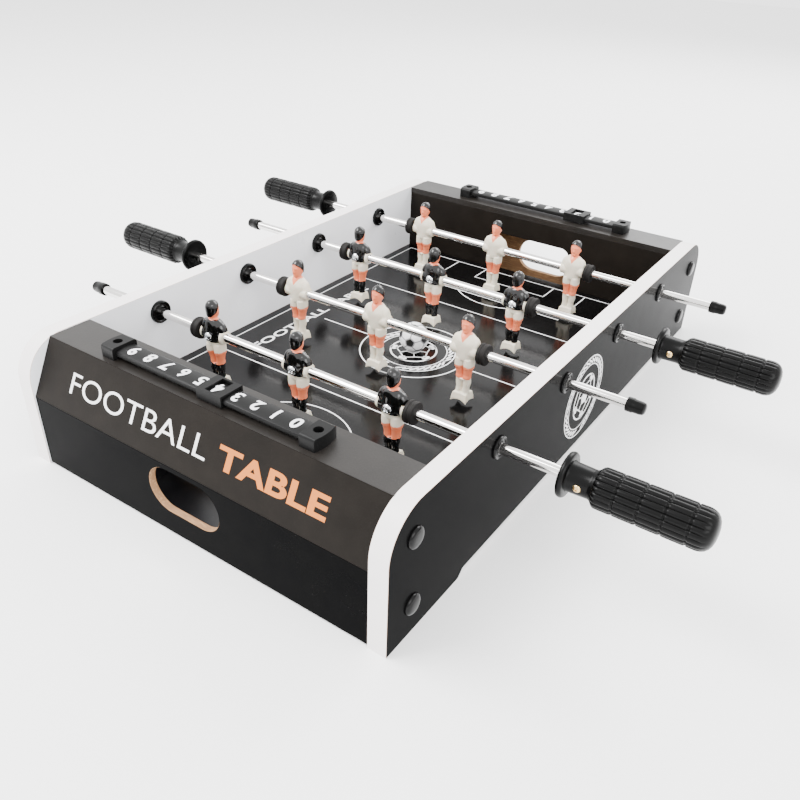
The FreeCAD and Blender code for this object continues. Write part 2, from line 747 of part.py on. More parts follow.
def score_ends():
    """The end blocks that screw down to the top boards and hold the numbered bars."""
    members = []
    half = d.block_width / 2
    reach = d.score_block / 2
    shoulder = reach - d.block_bow
    radius = (half * half + d.block_bow * d.block_bow) / (2 * d.block_bow)
    for end, sign in (("near", -1), ("far", 1)):
        for side, way, turn in (("left", -1, 180), ("right", 1, 0)):
            body = doc.addObject("PartDesign::Body", f"score_end_{end}_{side}")
            base = new_sketch(body, "XY_Plane")
            add_outline(base, [(-reach, -half), (shoulder, -half, (reach, 0), radius), (shoulder, half),
                               (-reach, half)])
            block = pad(body, base, d.block_height)

            def long_top_edge(centre, edge):
                return abs(centre.y) > half.value - EDGE_NEAR and centre.z > d.block_height.value - EDGE_NEAR

            round_edges(body, block, d.block_height / 4, long_top_edge)
            drill(body, "XY_Plane", [(0, 0)], small_hole, THROUGH * d.block_height)
            drill(body, "XY_Plane", [(0, 0)], d.seat_hole, 2 * (d.block_height - d.seat_height),
                  d.block_height)
            members.append(place(body, x=sign * d.score_shift + way * score_spot, y=sign * d.score_reach,
                                 z=top_z, turn=turn))
    group("score_end_blocks", members)


def score_screws():
    """The screws down through the end blocks into the top boards."""
    members = []
    for end, sign in (("near", -1), ("far", 1)):
        for side, way in (("left", -1), ("right", 1)):
            body = small_screw(f"score_screw_{end}_{side}", d.small_head, d.small_dome)
            members.append(place(body, x=sign * d.score_shift + way * score_spot, y=sign * d.score_reach,
                                 z=top_z + d.seat_height, turn=90, axis=AXIS_Y))
    group("score_screws", members)


def score_slider(name, sign, digit):
    """The slider that rides on a numbered bar. It stands at the digit it shows, 0 being at +X."""
    body = new_body(name)
    wall = d.slider_wall
    play = d.slider_play
    half = d.bar_width / 2 + play
    low = d.bar_lift - play
    high = d.bar_lift + d.bar_crown + play
    section = new_sketch(body, "YZ_Plane")
    add_box(section, (-half - wall, low - wall), (half + wall, high + wall))
    add_box(section, (-half, low), (half, high))
    pad(body, section, d.slider_length, both_ways=True)
    window = new_sketch(body, "XY_Plane", high + wall)
    add_box(window, (-d.slider_window / 2, -d.window_width / 2), (d.slider_window / 2, d.window_width / 2))
    pocket(body, window, 2 * wall, both_ways=True)
    middle_digit = 4.5
    place(body, x=(-digit + middle_digit) * d.digit_pitch + sign * d.score_shift, y=sign * d.score_reach,
          z=top_z)


def ball():
    sphere = doc.addObject("Part::Sphere", "ball")
    bind(sphere, Radius=d.ball_diameter / 2)
    place(sphere, z=pitch_z + d.rest_gap + d.ball_diameter / 2)


# ---------------------------------------------------------------- the table

side_board("side_board_left", -1, 180)
side_board("side_board_right", 1, 0)
pitch()
battens()
for end, turn in ENDS:
    goal_wall(f"{end}_goal_wall", turn)
    top_board(f"{end}_top_board", turn)
    slope_board(f"{end}_slope_board", turn)
    front_board(f"{end}_front_board", turn)
    ball_tray(f"{end}_ball_tray", turn)
    corner_blocks(f"{end}_corner_blocks", turn)
side_screws()
screw_caps()
bushings()
score_bar("near_score_bar", -1)
score_bar("far_score_bar", 1)
score_ends()
score_screws()
score_slider("near_score_slider", -1, d.near_score)
score_slider("far_score_slider", 1, d.far_score)
for rod in RODS:
    steel_rod(rod)
    handle(rod)
    rod_cap(rod)
    bumpers(rod)
    rod_screws(rod)
    for spot, along in (("left", -1), ("middle", 0), ("right", 1)):
        player(f"player_{rod.number}_{spot}", rod, rod.side * along * d.player_pitch)
ball()
doc.recompute()

# ---------------------------------------------------------------- checks and export

held = set()
for item in doc.Objects:
    if item.TypeId == "Part::Compound":
        held.update(member.Name for member in item.Links)
nodes = [item for item in doc.Objects
         if item.TypeId in ("PartDesign::Body", "Part::Compound", "Part::Sphere") and item.Name not in held]
for item in doc.Objects:
    if "Invalid" in item.State or "Error" in item.State:
        raise RuntimeError(f"{item.Label} failed: {item.State}")
for node in nodes:
    if node.Shape.isNull() or not node.Shape.isValid():
        raise RuntimeError(f"{node.Label} has a bad shape")

os.makedirs("parts", exist_ok=True)
for node in nodes:
    node.Shape.exportStep(f"parts/{node.Label}.step")
    box = node.Shape.BoundBox
    print(f"{node.Label:24s} solids {len(node.Shape.Solids)} volume {node.Shape.Volume:10.1f}"
          f" x {box.XMin:.1f} {box.XMax:.1f} y {box.YMin:.1f} {box.YMax:.1f} z {box.ZMin:.1f} {box.ZMax:.1f}")
print(len(nodes), "sub-parts")
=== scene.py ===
"""Tabletop foosball table: the visible pieces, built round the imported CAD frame.

The row frame is used throughout: +X across the table along the rods, +Y from the near goal to the far goal,
+Z up, the origin on the floor. Sections and profiles are written in millimetres and meshes are in metres.
"""

import itertools
import math

import bmesh
import bpy
from bpy.props import FloatProperty, FloatVectorProperty, PointerProperty, StringProperty
from mathutils import Matrix, Vector


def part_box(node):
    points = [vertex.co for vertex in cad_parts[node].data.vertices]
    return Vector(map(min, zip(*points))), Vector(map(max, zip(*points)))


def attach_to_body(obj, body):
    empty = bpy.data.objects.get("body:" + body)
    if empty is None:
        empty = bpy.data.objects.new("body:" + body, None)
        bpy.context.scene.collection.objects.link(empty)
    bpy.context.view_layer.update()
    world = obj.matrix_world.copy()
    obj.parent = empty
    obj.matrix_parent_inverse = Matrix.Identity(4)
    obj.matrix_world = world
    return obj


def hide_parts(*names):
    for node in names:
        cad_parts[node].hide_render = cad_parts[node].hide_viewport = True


bl_info = {
    "name": "Tabletop Foosball Table",
    "version": (1, 0, 0),
    "blender": (4, 5, 0),
    "location": "3D View > Sidebar > Foosball",
    "description": "Builds the visible pieces of a tabletop foosball table round its CAD frame",
    "category": "Object",
}

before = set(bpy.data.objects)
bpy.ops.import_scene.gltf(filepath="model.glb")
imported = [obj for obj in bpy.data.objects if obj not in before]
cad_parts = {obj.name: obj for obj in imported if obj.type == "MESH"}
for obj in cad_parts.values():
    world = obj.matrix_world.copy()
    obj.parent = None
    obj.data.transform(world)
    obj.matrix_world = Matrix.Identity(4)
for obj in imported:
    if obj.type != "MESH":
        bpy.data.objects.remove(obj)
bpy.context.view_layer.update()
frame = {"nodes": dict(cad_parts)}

MM = 0.001
ENDS = {"near": -1, "far": 1}
SIDES = {"left": -1, "right": 1}
RODS = (1, 2, 3, 4)
SPOTS = ("left", "middle", "right")
TEAM = {1: "dark", 2: "light", 3: "dark", 4: "light"}
HANDLE_SIDE = {1: 1, 2: -1, 3: 1, 4: -1}


def centre(node):
    low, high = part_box(node)
    return (low + high) / 2


ROD_AXIS_Z = centre("rod_1").z
OUTER_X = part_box("side_board_right")[1].x
PITCH_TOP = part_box("pitch_board")[1].z


# ---------------------------------------------------------------- modelling helpers


def deselect():
    """Object mode, with nothing selected."""
    if bpy.context.object and bpy.context.object.mode != "OBJECT":
        bpy.ops.object.mode_set(mode="OBJECT")
    bpy.ops.object.select_all(action="DESELECT")


def pick(*objects):
    """Select these objects and make the first one active."""
    deselect()
    for item in objects:
        item.select_set(True)
    bpy.context.view_layer.objects.active = objects[0]


def edit(obj):
    """Edit mode on one object, all of it selected."""
    pick(obj)
    bpy.ops.object.mode_set(mode="EDIT")
    bpy.ops.mesh.select_all(action="SELECT")


def done():
    bpy.ops.object.mode_set(mode="OBJECT")


def outward(obj):
    """Merge doubles and turn the faces outwards."""
    edit(obj)
    bpy.ops.mesh.remove_doubles(threshold=0.002 * MM)
    bpy.ops.mesh.normals_make_consistent(inside=False)
    done()
    return obj


def modify(obj, kind, **settings):
    """Add one modifier and apply it."""
    pick(obj)
    bpy.ops.object.modifier_add(type=kind)
    modifier = obj.modifiers[-1]
    for key, value in settings.items():
        setattr(modifier, key, value)
    bpy.ops.object.modifier_apply(modifier=modifier.name)
    return obj


def settle(obj, location=(0, 0, 0), turn=(0, 0, 0), scale=(1, 1, 1)):
    """Move, turn and scale a piece, with its place kept in its mesh."""
    pick(obj)
    obj.location = location
    obj.rotation_euler = [math.radians(angle) for angle in turn]
    obj.scale = scale
    bpy.ops.object.transform_apply(location=True, rotation=True, scale=True)
    return obj


def join(name, objects):
    pick(*objects)
    if len(objects) > 1:
        bpy.ops.object.join()
    bpy.context.object.name = name
    return bpy.context.object


def copy_of(obj, name):
    twin = bpy.data.objects.new(name, obj.data.copy())
    bpy.context.collection.objects.link(twin)
    return twin


def discard(obj):
    bpy.data.objects.remove(obj)


def stacked(name, sections, sides=32, ring=False, ribs=0, rib_depth=0.0):
    """A closed form along Z: a circle is extruded from section to section.

    A section is (height, half width, half depth, x shift, y shift), where all after the half width may be
    left out. With ring set the last section meets the first one. Ribs are raised along the form.
    """
    deselect()
    bpy.ops.mesh.primitive_circle_add(vertices=sides, radius=MM)
    obj = bpy.context.object
    obj.name = name
    if ribs:
        for vertex in obj.data.vertices:
            share = math.atan2(vertex.co.y, vertex.co.x) / math.tau * ribs % 1
            across = 2 * share - 1
            vertex.co *= 1 - rib_depth * (1 - math.sqrt(max(0, 1 - across * across)))
    bpy.ops.object.mode_set(mode="EDIT")
    last = (0.0, MM, MM, 0.0, 0.0)
    for index, section in enumerate(sections):
        height, wide, *rest = [value * MM for value in section]
        deep, x, y = (rest + [wide, 0.0, 0.0][len(rest):])
        if index:
            bpy.ops.mesh.extrude_region_move()
        bpy.ops.transform.resize(value=(wide / last[1], deep / last[2], 1),
                                 center_override=(last[3], last[4], last[0]))
        bpy.ops.transform.translate(value=(x - last[3], y - last[4], height - last[0]))
        last = (height, wide, deep, x, y)
    bpy.ops.mesh.select_all(action="SELECT")
    if not ring:
        bpy.ops.mesh.fill_holes(sides=0)
    done()
    return outward(obj)


def turned(name, profile, sides=48, ring=False, **more):
    """A form turned about X, from (distance along X, radius)."""
    return settle(stacked(name, profile, sides, ring, **more), turn=(0, 90, 0))


def bulb(name, place, half, sides=16, levels=9):
    """A smooth egg: its place and its half sizes along the three axes, all in millimetres."""
    sections = []
    for index in range(levels + 1):
        angle = math.pi * (0.04 + 0.92 * index / levels)
        around = math.sin(angle)
        level = place[2] - half[2] * math.cos(angle)
        sections.append((level, half[0] * around, half[1] * around, *place[:2]))
    return stacked(name, sections, sides)


def softened(node, width, segments=2, bevel_slot=-1):
    """A copy of a CAD node with its triangles merged and its sharp edges rounded."""
    piece = bpy.data.objects.new(f"{node}_finished", frame["nodes"][node].data.copy())
    bpy.context.collection.objects.link(piece)
    piece.data.materials.clear()
    edit(piece)
    bpy.ops.mesh.customdata_custom_splitnormals_clear()
    bpy.ops.mesh.remove_doubles(threshold=0.005 * MM)
    bpy.ops.mesh.dissolve_limited(angle_limit=math.radians(0.5))
    done()
    for polygon in piece.data.polygons:
        polygon.material_index = 0
    return modify(piece, "BEVEL", width=width * MM, segments=segments, limit_method="ANGLE",
                  angle_limit=math.radians(35), use_clamp_overlap=True, material=bevel_slot)


def smooth(obj, angle=35):
    pick(obj)
    bpy.ops.object.shade_smooth_by_angle(angle=math.radians(angle))
    return obj


def piece(obj, body, slot, *nodes, angle=35):
    """The last step of a piece: shading, the body it rides on and the nodes it stands for. Its slot is not
    used.
    """
    smooth(obj, angle)
    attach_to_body(obj, body)
    if nodes:
        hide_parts(*nodes)
    return obj


def dress(obj, *materials):
    obj.data.materials.clear()
    for material in materials:
        obj.data.materials.append(material)
    return obj


def placed(pattern, name, material, location, turn=(0, 0, 0)):
    """A copy of a pattern in its own finish, at its own place."""
    return settle(dress(copy_of(pattern, name), material), location=location, turn=turn)


def dress_faces(obj, choose):
    """Give each face the material slot that choose(centre, normal) returns."""
    for polygon in obj.data.polygons:
        polygon.material_index = choose(polygon.center, polygon.normal)
    return obj


# ---------------------------------------------------------------- material helpers


def add(tree, kind, settings=None, **inputs):
    """A node with its settings and its inputs, linked or set. A space in a socket's name is written as _."""
    node = tree.nodes.new(kind)
    for key, value in (settings or {}).items():
        setattr(node, key, value)
    for name, value in inputs.items():
        attach(tree, node.inputs[name.replace("_", " ")], value)
    return node


def attach(tree, socket, value):
    if isinstance(value, bpy.types.NodeSocket):
        tree.links.new(value, socket)
    else:
        socket.default_value = value


def calc(tree, operation, *values):
    """A Math node's result."""
    node = tree.nodes.new("ShaderNodeMath")
    node.operation = operation
    for socket, value in zip(node.inputs, values):
        attach(tree, socket, value)
    return node.outputs[0]


def blended(tree, factor, first, second):
    """A colour between two others."""
    node = tree.nodes.new("ShaderNodeMix")
    node.data_type = "RGBA"
    attach(tree, node.inputs["Factor"], factor)
    attach(tree, node.inputs["A"], first)
    attach(tree, node.inputs["B"], second)
    return node.outputs["Result"]


def spread(tree, value, low, high, new_low, new_high):
    """A value carried from one range to another, and kept inside it."""
    node = add(tree, "ShaderNodeMapRange", From_Min=low, From_Max=high, To_Min=new_low, To_Max=new_high)
    attach(tree, node.inputs["Value"], value)
    return node.outputs["Result"]


def coordinates(tree):
    return add(tree, "ShaderNodeTexCoord").outputs["Object"]


def effect(name, inputs, outputs):
    """An empty shader node group with float inputs and named outputs."""
    tree = bpy.data.node_groups.new(name, "ShaderNodeTree")
    for label, default in inputs:
        kind = "NodeSocketColor" if isinstance(default, tuple) else "NodeSocketFloat"
        tree.interface.new_socket(label, in_out="INPUT", socket_type=kind).default_value = default
    for label, kind in outputs:
        tree.interface.new_socket(label, in_out="OUTPUT", socket_type=kind)
    return tree, tree.nodes.new("NodeGroupInput").outputs, tree.nodes.new("NodeGroupOutput").inputs


def build_grain():
    """Fine moulded or pressed grain: a height for a bump and a light and dark mottling."""
    tree, given, out = effect("Surface Grain", (("Scale", 900.0), ("Mottle Scale", 60.0)),
                              (("Height", "NodeSocketFloat"), ("Mottle", "NodeSocketFloat")))
    where = coordinates(tree)
    fine = add(tree, "ShaderNodeTexNoise", Vector=where, Scale=given["Scale"], Detail=2.0, Roughness=0.6)
    cells = add(tree, "ShaderNodeTexVoronoi", {"feature": "SMOOTH_F1"}, Vector=where, Scale=given["Scale"])
    pebbled = calc(tree, "MULTIPLY", cells.outputs["Distance"], 0.6)
    tree.links.new(calc(tree, "ADD", fine.outputs["Fac"], pebbled), out["Height"])
    cloud = add(tree, "ShaderNodeTexNoise", Vector=where, Scale=given["Mottle Scale"], Detail=4.0)
    tree.links.new(cloud.outputs["Fac"], out["Mottle"])
    return tree


def build_handling():
    """Marks of use: roughness that varies with faint smudges, and a mask of dust on what faces up."""
    tree, given, out = effect("Handling Marks", (("Roughness", 0.3), ("Smudge", 0.08), ("Dust", 0.3)),
                              (("Roughness", "NodeSocketFloat"), ("Dust Mask", "NodeSocketFloat")))
    where = coordinates(tree)
    patches = add(tree, "ShaderNodeTexNoise", Vector=where, Scale=22.0, Detail=5.0, Distortion=0.6)
    streaks = add(tree, "ShaderNodeTexNoise", Vector=where, Scale=140.0, Detail=3.0)
    both = calc(tree, "ADD", calc(tree, "MULTIPLY", patches.outputs["Fac"], 0.7),
                calc(tree, "MULTIPLY", streaks.outputs["Fac"], 0.3))
    swing = calc(tree, "MULTIPLY", calc(tree, "SUBTRACT", both, 0.5),
                 calc(tree, "MULTIPLY", given["Smudge"], 4.0))
    tree.links.new(calc(tree, "ADD", given["Roughness"], swing), out["Roughness"])
    up = add(tree, "ShaderNodeSeparateXYZ", Vector=add(tree, "ShaderNodeNewGeometry").outputs["Normal"])
    facing = spread(tree, up.outputs["Z"], 0.3, 1.0, 0.0, 1.0)
    specks = add(tree, "ShaderNodeTexNoise", Vector=where, Scale=1600.0, Detail=2.0)
    spots = spread(tree, specks.outputs["Fac"], 0.55, 0.75, 0.0, 1.0)
    film = calc(tree, "MULTIPLY", patches.outputs["Fac"], 0.25)
    mask = calc(tree, "MULTIPLY", calc(tree, "ADD", spots, film), facing)
    tree.links.new(calc(tree, "MULTIPLY", mask, given["Dust"]), out["Dust Mask"])
    return tree


def build_line():
    """A painted line: one where a distance is within half the line's width, in metres, with a soft edge."""
    tree, given, out = effect("Painted Line", (("Distance", 0.0), ("Width", 1.2 * MM)),
                              (("Mask", "NodeSocketFloat"),))
    gap = calc(tree, "SUBTRACT", calc(tree, "ABSOLUTE", given["Distance"]),
               calc(tree, "DIVIDE", given["Width"], 2.0))
    tree.links.new(spread(tree, gap, 0.0, 0.12 * MM, 1.0, 0.0), out["Mask"])
    return tree


EFFECTS = {}


def group_node(tree, key, **inputs):
    return add(tree, "ShaderNodeGroup", {"node_tree": EFFECTS[key]}, **inputs)


DUST = (0.42, 0.41, 0.4, 1.0)


def fresh(name):
    """A new material, with its node tree and its shader."""
    material = bpy.data.materials.new(name)
    material.use_nodes = True
    return material, material.node_tree, material.node_tree.nodes["Principled BSDF"]


def over(material, factor, colour):
    """Lay one more colour over a finish, where the factor says."""
    tree = material.node_tree
    base = tree.nodes["Principled BSDF"].inputs["Base Color"]
    tree.links.new(blended(tree, factor, base.links[0].from_socket, (*colour, 1.0)), base)


def finish(name, colour, roughness, grain=0.0, grain_scale=900.0, mottle=0.0, smudge=0.05, dust=0.2,
           second=None, bump_distance=0.05, **sockets):
    """A procedural finish: mottled colour, smudged roughness, settled dust and a grain in relief."""
    material, tree, skin = fresh(name)
    for key, value in sockets.items():
        skin.inputs[key.replace("_", " ")].default_value = value
    texture = group_node(tree, "grain", Scale=grain_scale)
    marks = group_node(tree, "handling", Roughness=roughness, Smudge=smudge, Dust=dust)
    tone = (*colour, 1.0)
    other = (*(second or [channel * (1 - mottle) for channel in colour]), 1.0)
    mixed = blended(tree, spread(tree, texture.outputs["Mottle"], 0.3, 0.7, 0.0, 1.0), tone, other)
    tree.links.new(blended(tree, marks.outputs["Dust Mask"], mixed, DUST), skin.inputs["Base Color"])
    tree.links.new(marks.outputs["Roughness"], skin.inputs["Roughness"])
    if grain:
        bump = add(tree, "ShaderNodeBump", Strength=grain, Distance=bump_distance * MM,
                   Height=texture.outputs["Height"])
        tree.links.new(bump.outputs["Normal"], skin.inputs["Normal"])
    return material


def build_effects():
    EFFECTS.update(grain=build_grain(), handling=build_handling(), line=build_line())


# ---------------------------------------------------------------- finishes of this table


def laminate_outer(name):
    return finish(name, (0.0012, 0.0012, 0.0014), 0.22, grain=0.05, grain_scale=500, smudge=0.05,
                  dust=0.0, second=(0.002, 0.002, 0.002), Specular_IOR_Level=0.01)


def laminate_inner():
    return finish("inner_laminate", (0.83, 0.84, 0.87), 0.3, grain=0.04, grain_scale=700, mottle=0.03,
                  dust=0.05)


def edge_band():
    return finish("edge_band", (0.84, 0.8, 0.79), 0.42, grain=0.12, grain_scale=1100, mottle=0.03, dust=0.05)


def band_glue():
    """The thin warm line on the rounded edges where the edge band meets the faces: a painted reflection of
    the warm floor.
    """
    return finish("band_glue", (0.55, 0.36, 0.27), 0.6, mottle=0.3, grain_scale=2500, grain=0.1)


def charcoal(name, gloss):
    settings = bpy.context.scene.foosball_cabinet
    return finish(name, settings.charcoal, 0.36, grain=0.35, grain_scale=620, mottle=0.3,
                  smudge=0.05, dust=0.02, bump_distance=0.08, Specular_IOR_Level=gloss)


def fibreboard():
    """Raw fibreboard: brown, with short fibres along the board."""
    material = finish("raw_board", (0.3, 0.16, 0.075), 0.85, grain=0.6, grain_scale=1500, mottle=0.35,
                      dust=0.0, bump_distance=0.15)
    tree = material.node_tree
    fibres = add(tree, "ShaderNodeMapping", Vector=coordinates(tree), Scale=(120.0, 900.0, 900.0))
    flecks = add(tree, "ShaderNodeTexNoise", Vector=fibres.outputs["Vector"], Scale=1.0, Detail=3.0)
    over(material, spread(tree, flecks.outputs["Fac"], 0.5, 0.7, 0.0, 0.7), (0.46, 0.27, 0.13))
    return material


def pine():
    """Plain sawn softwood, with growth rings along the piece."""
    material = finish("sawn_wood", (0.62, 0.43, 0.25), 0.75, grain=0.4, grain_scale=1200, mottle=0.2,
                      dust=0.05)
    tree = material.node_tree
    rings = add(tree, "ShaderNodeTexWave", {"bands_direction": "Z"}, Vector=coordinates(tree), Scale=90.0,
                Distortion=4.0, Detail=2.0, Detail_Scale=1.5)
    over(material, spread(tree, rings.outputs["Fac"], 0.5, 1.0, 0.0, 0.5), (0.42, 0.25, 0.12))
    return material


def moulded(name, colour, roughness, **more):
    """Moulded plastic."""
    settings = {"grain": 0.12, "grain_scale": 1400, "mottle": 0.12, "smudge": 0.06, "dust": 0.03}
    settings.update(more)
    return finish(name, colour, roughness, **settings)


def rubber():
    return finish("bumper_rubber", (0.009, 0.008, 0.0075), 0.62, grain=0.5, grain_scale=1800, mottle=0.3,
                  dust=0.05, bump_distance=0.08, Specular_IOR_Level=0.12)


def metal(name, colour, roughness, stretch=(300.0, 300.0, 300.0)):
    """Drawn or plated metal, with fine marks. They run along X when X is stretched least."""
    material, tree, skin = fresh(name)
    skin.inputs["Metallic"].default_value = 1.0
    drawn = add(tree, "ShaderNodeMapping", Vector=coordinates(tree), Scale=stretch)
    marks = add(tree, "ShaderNodeTexNoise", Vector=drawn.outputs["Vector"], Scale=1.0, Detail=4.0)
    smudges = group_node(tree, "handling", Roughness=roughness, Smudge=0.03, Dust=0.0)
    tone = blended(tree, marks.outputs["Fac"], (*colour, 1.0), (*[channel * 0.93 for channel in colour], 1.0))
    tree.links.new(tone, skin.inputs["Base Color"])
    rough = calc(tree, "ADD", smudges.outputs["Roughness"],
                 spread(tree, marks.outputs["Fac"], 0.4, 0.7, 0.0, 0.03))
    tree.links.new(rough, skin.inputs["Roughness"])
    return material


def ink(name, colour):
    """Printed ink: slightly uneven cover."""
    return finish(name, colour, 0.45, grain=0.08, grain_scale=1500, mottle=0.07, dust=0.05)


# painted shade: the black strip on the pitch along the foot of each side wall
WALL_SHADE_BLACK = (0.001, 0.001, 0.001)
LINE_WHITE = (0.82, 0.82, 0.82)


def pitch_print():
    """The playing field's print, with a black strip of painted shade along the foot of the side walls. All
    sizes come from the pitch settings.
    """
    settings = bpy.context.scene.foosball_pitch
    material = finish("pitch_print", settings.field, 0.14, grain=0.03, grain_scale=260, mottle=0.2,
                      smudge=0.05, dust=0.0, bump_distance=0.2, Specular_IOR_Level=0.14)
    tree = material.node_tree
    place = add(tree, "ShaderNodeSeparateXYZ", Vector=coordinates(tree))
    x = calc(tree, "ABSOLUTE", place.outputs["X"])
    y = calc(tree, "ABSOLUTE", place.outputs["Y"])
    in_x = calc(tree, "LESS_THAN", x, settings.half_width)
    in_y = calc(tree, "LESS_THAN", y, settings.goal_line)

    def line(distance, *limits):
        mask = group_node(tree, "line", Distance=distance, Width=settings.line).outputs["Mask"]
        for limit in limits:
            mask = calc(tree, "MULTIPLY", mask, limit)
        return mask

    def box(half_width, front):
        across = calc(tree, "SUBTRACT", x, half_width)
        along = calc(tree, "SUBTRACT", front, y)
        return line(calc(tree, "MAXIMUM", across, along), in_y)

    def reach(middle):
        """Distance from a place on the pitch's long middle line."""
        along = calc(tree, "SUBTRACT", y, middle)
        squares = calc(tree, "ADD", calc(tree, "MULTIPLY", x, x), calc(tree, "MULTIPLY", along, along))
        return calc(tree, "SQRT", squares)

    def circle(radius, middle, *limits):
        return line(calc(tree, "SUBTRACT", reach(middle), radius), *limits)

    border = line(calc(tree, "MAXIMUM", calc(tree, "SUBTRACT", x, settings.half_width),
                       calc(tree, "SUBTRACT", y, settings.goal_line)))
    outside_circle = calc(tree, "GREATER_THAN", reach(0.0), settings.circle)
    halfway = line(y, calc(tree, "LESS_THAN", x, settings.halfway), outside_circle)
    lines = [border, halfway, line(calc(tree, "SUBTRACT", y, settings.zone_line), in_x),
             circle(settings.circle, 0.0), box(settings.box_width / 2, settings.box_front),
             box(settings.area_width / 2, settings.area_front),
             circle(settings.arc, settings.area_front, calc(tree, "LESS_THAN", y, settings.box_front))]
    mask = lines[0]
    for each in lines[1:]:
        mask = calc(tree, "MAXIMUM", mask, each)
    # beyond the margin the pitch is painted black: painted shade along the foot of the side walls
    over(material, calc(tree, "GREATER_THAN", x, settings.half_width + settings.margin), WALL_SHADE_BLACK)
    over(material, mask, LINE_WHITE)
    return material


# heights above the rod's axis at which a player's colours begin, and its top and sole, in millimetres
FIGURE_TOP, FIGURE_SOLE = 27.0, -44.0
SOCK, KNEE, SHORTS, SHIRT, NECK, NAPE = -35.6, -24.0, -13.2, -4.4, 12.6, 15.0
COLLAR_POINT, COLLAR_SLOPE = 7.2, 1.5
HAIRLINE, HAIR_SLOPE = 19.6, 1.1
HUB_START, HUB_TOP = 8.8, 4.5
STAIN = (0.3, 0.24, 0.2, 1.0)


def figure_paint(team):
    """A player's painted plastic, from the figure attribute: its own place, measured from the rod's axis."""
    settings = bpy.context.scene.foosball_team
    plastic, skin_tone, gloss_black = map(tuple, (settings.plastic, settings.skin, settings.black))
    kit = gloss_black if team == "dark" else plastic
    material, tree, skin = fresh(f"{team}_team")
    spot = add(tree, "ShaderNodeAttribute", {"attribute_name": "figure"}).outputs["Vector"]
    waver = add(tree, "ShaderNodeTexNoise", Vector=spot, Scale=350.0, Detail=2.0)
    place = add(tree, "ShaderNodeSeparateXYZ", Vector=spot)
    x = calc(tree, "ABSOLUTE", place.outputs["X"])
    y = place.outputs["Y"]
    z = calc(tree, "ADD", place.outputs["Z"],
             spread(tree, waver.outputs["Fac"], 0.3, 0.7, -0.35 * MM, 0.35 * MM))

    bands = tree.nodes.new("ShaderNodeValToRGB")
    bands.color_ramp.interpolation = "CONSTANT"
    stops = ((FIGURE_SOLE, plastic), (SOCK, kit), (KNEE, skin_tone), (SHORTS, plastic), (SHIRT, kit))
    steps = bands.color_ramp.elements
    while len(steps) < len(stops):
        steps.new(1.0)
    for step, (height, colour) in zip(steps, stops):
        step.position = (height - FIGURE_SOLE) / (FIGURE_TOP - FIGURE_SOLE)
        step.color = (*colour, 1.0)
    attach(tree, bands.inputs["Fac"], spread(tree, z, FIGURE_SOLE * MM, FIGURE_TOP * MM, 0.0, 1.0))

    def above(value, limit):
        return calc(tree, "GREATER_THAN", value, limit)

    def above_slope(value, slope, limit):
        return above(calc(tree, "SUBTRACT", z, calc(tree, "MULTIPLY", value, slope)), limit)

    neck = above(z, NECK * MM)
    open_neck = calc(tree, "MULTIPLY", above_slope(x, COLLAR_SLOPE, COLLAR_POINT * MM), above(y, 1.0 * MM))
    flesh = calc(tree, "MAXIMUM", neck, open_neck)
    hair = calc(tree, "MULTIPLY", above_slope(y, HAIR_SLOPE, HAIRLINE * MM), above(z, NAPE * MM))
    hub = calc(tree, "MULTIPLY", above(x, HUB_START * MM), calc(tree, "LESS_THAN", z, HUB_TOP * MM))
    colour = blended(tree, flesh, bands.outputs["Color"], (*skin_tone, 1.0))
    colour = blended(tree, hair, colour, (*gloss_black, 1.0))
    colour = blended(tree, hub, colour, (*plastic, 1.0))
    bright = add(tree, "ShaderNodeSeparateColor", Color=colour)
    pale = spread(tree, bright.outputs["Red"], 0.1, 0.5, 0.0, 1.0)
    cloud = add(tree, "ShaderNodeTexNoise", Vector=spot, Scale=120.0, Detail=4.0)
    stain = calc(tree, "MULTIPLY", spread(tree, cloud.outputs["Fac"], 0.35, 0.8, 0.0, 0.12), pale)
    tree.links.new(blended(tree, stain, colour, STAIN), skin.inputs["Base Color"])

    marks = group_node(tree, "handling", Roughness=0.13, Smudge=0.04, Dust=0.0)
    dull = calc(tree, "MULTIPLY", pale, 0.2)
    tree.links.new(calc(tree, "ADD", marks.outputs["Roughness"], dull), skin.inputs["Roughness"])
    skin.inputs["Subsurface Weight"].default_value = 0.08
    skin.inputs["Subsurface Scale"].default_value = 1.5 * MM
    grain = group_node(tree, "grain", Scale=1500.0)
    seam = calc(tree, "LESS_THAN", calc(tree, "ABSOLUTE", y), 0.12 * MM)
    height = calc(tree, "ADD", calc(tree, "MULTIPLY", grain.outputs["Height"], 0.35), seam)
    bump = add(tree, "ShaderNodeBump", Strength=0.25, Distance=0.08 * MM, Height=height)
    tree.links.new(bump.outputs["Normal"], skin.inputs["Normal"])
    return material


# ---------------------------------------------------------------- settings


def size(name, description, millimetres):
    return FloatProperty(name=name, description=description, default=millimetres * MM, unit="LENGTH",
                         precision=5)


def tint(name, description, colour):
    return FloatVectorProperty(name=name, description=description, default=colour, subtype="COLOR", min=0,
                               max=1)


class FoosballCabinet(bpy.types.PropertyGroup):
    edge: FloatProperty(name="Edge rounding", description="Rounding of the board edges, in millimetres",
                        default=0.5)
    charcoal: tint("Charcoal", "Colour of the end boards", (0.009, 0.0072, 0.0058))
    lettering: size("Lettering", "Height of the capitals on the slopes", 14.5)
    first_word: StringProperty(name="First word", description="Word in white on the slopes",
                               default="FOOTBALL")
    second_word: StringProperty(name="Second word", description="Word in orange on the slopes",
                                default="TABLE")
    orange: tint("Orange", "Colour of the second word", (0.5, 0.14, 0.01))


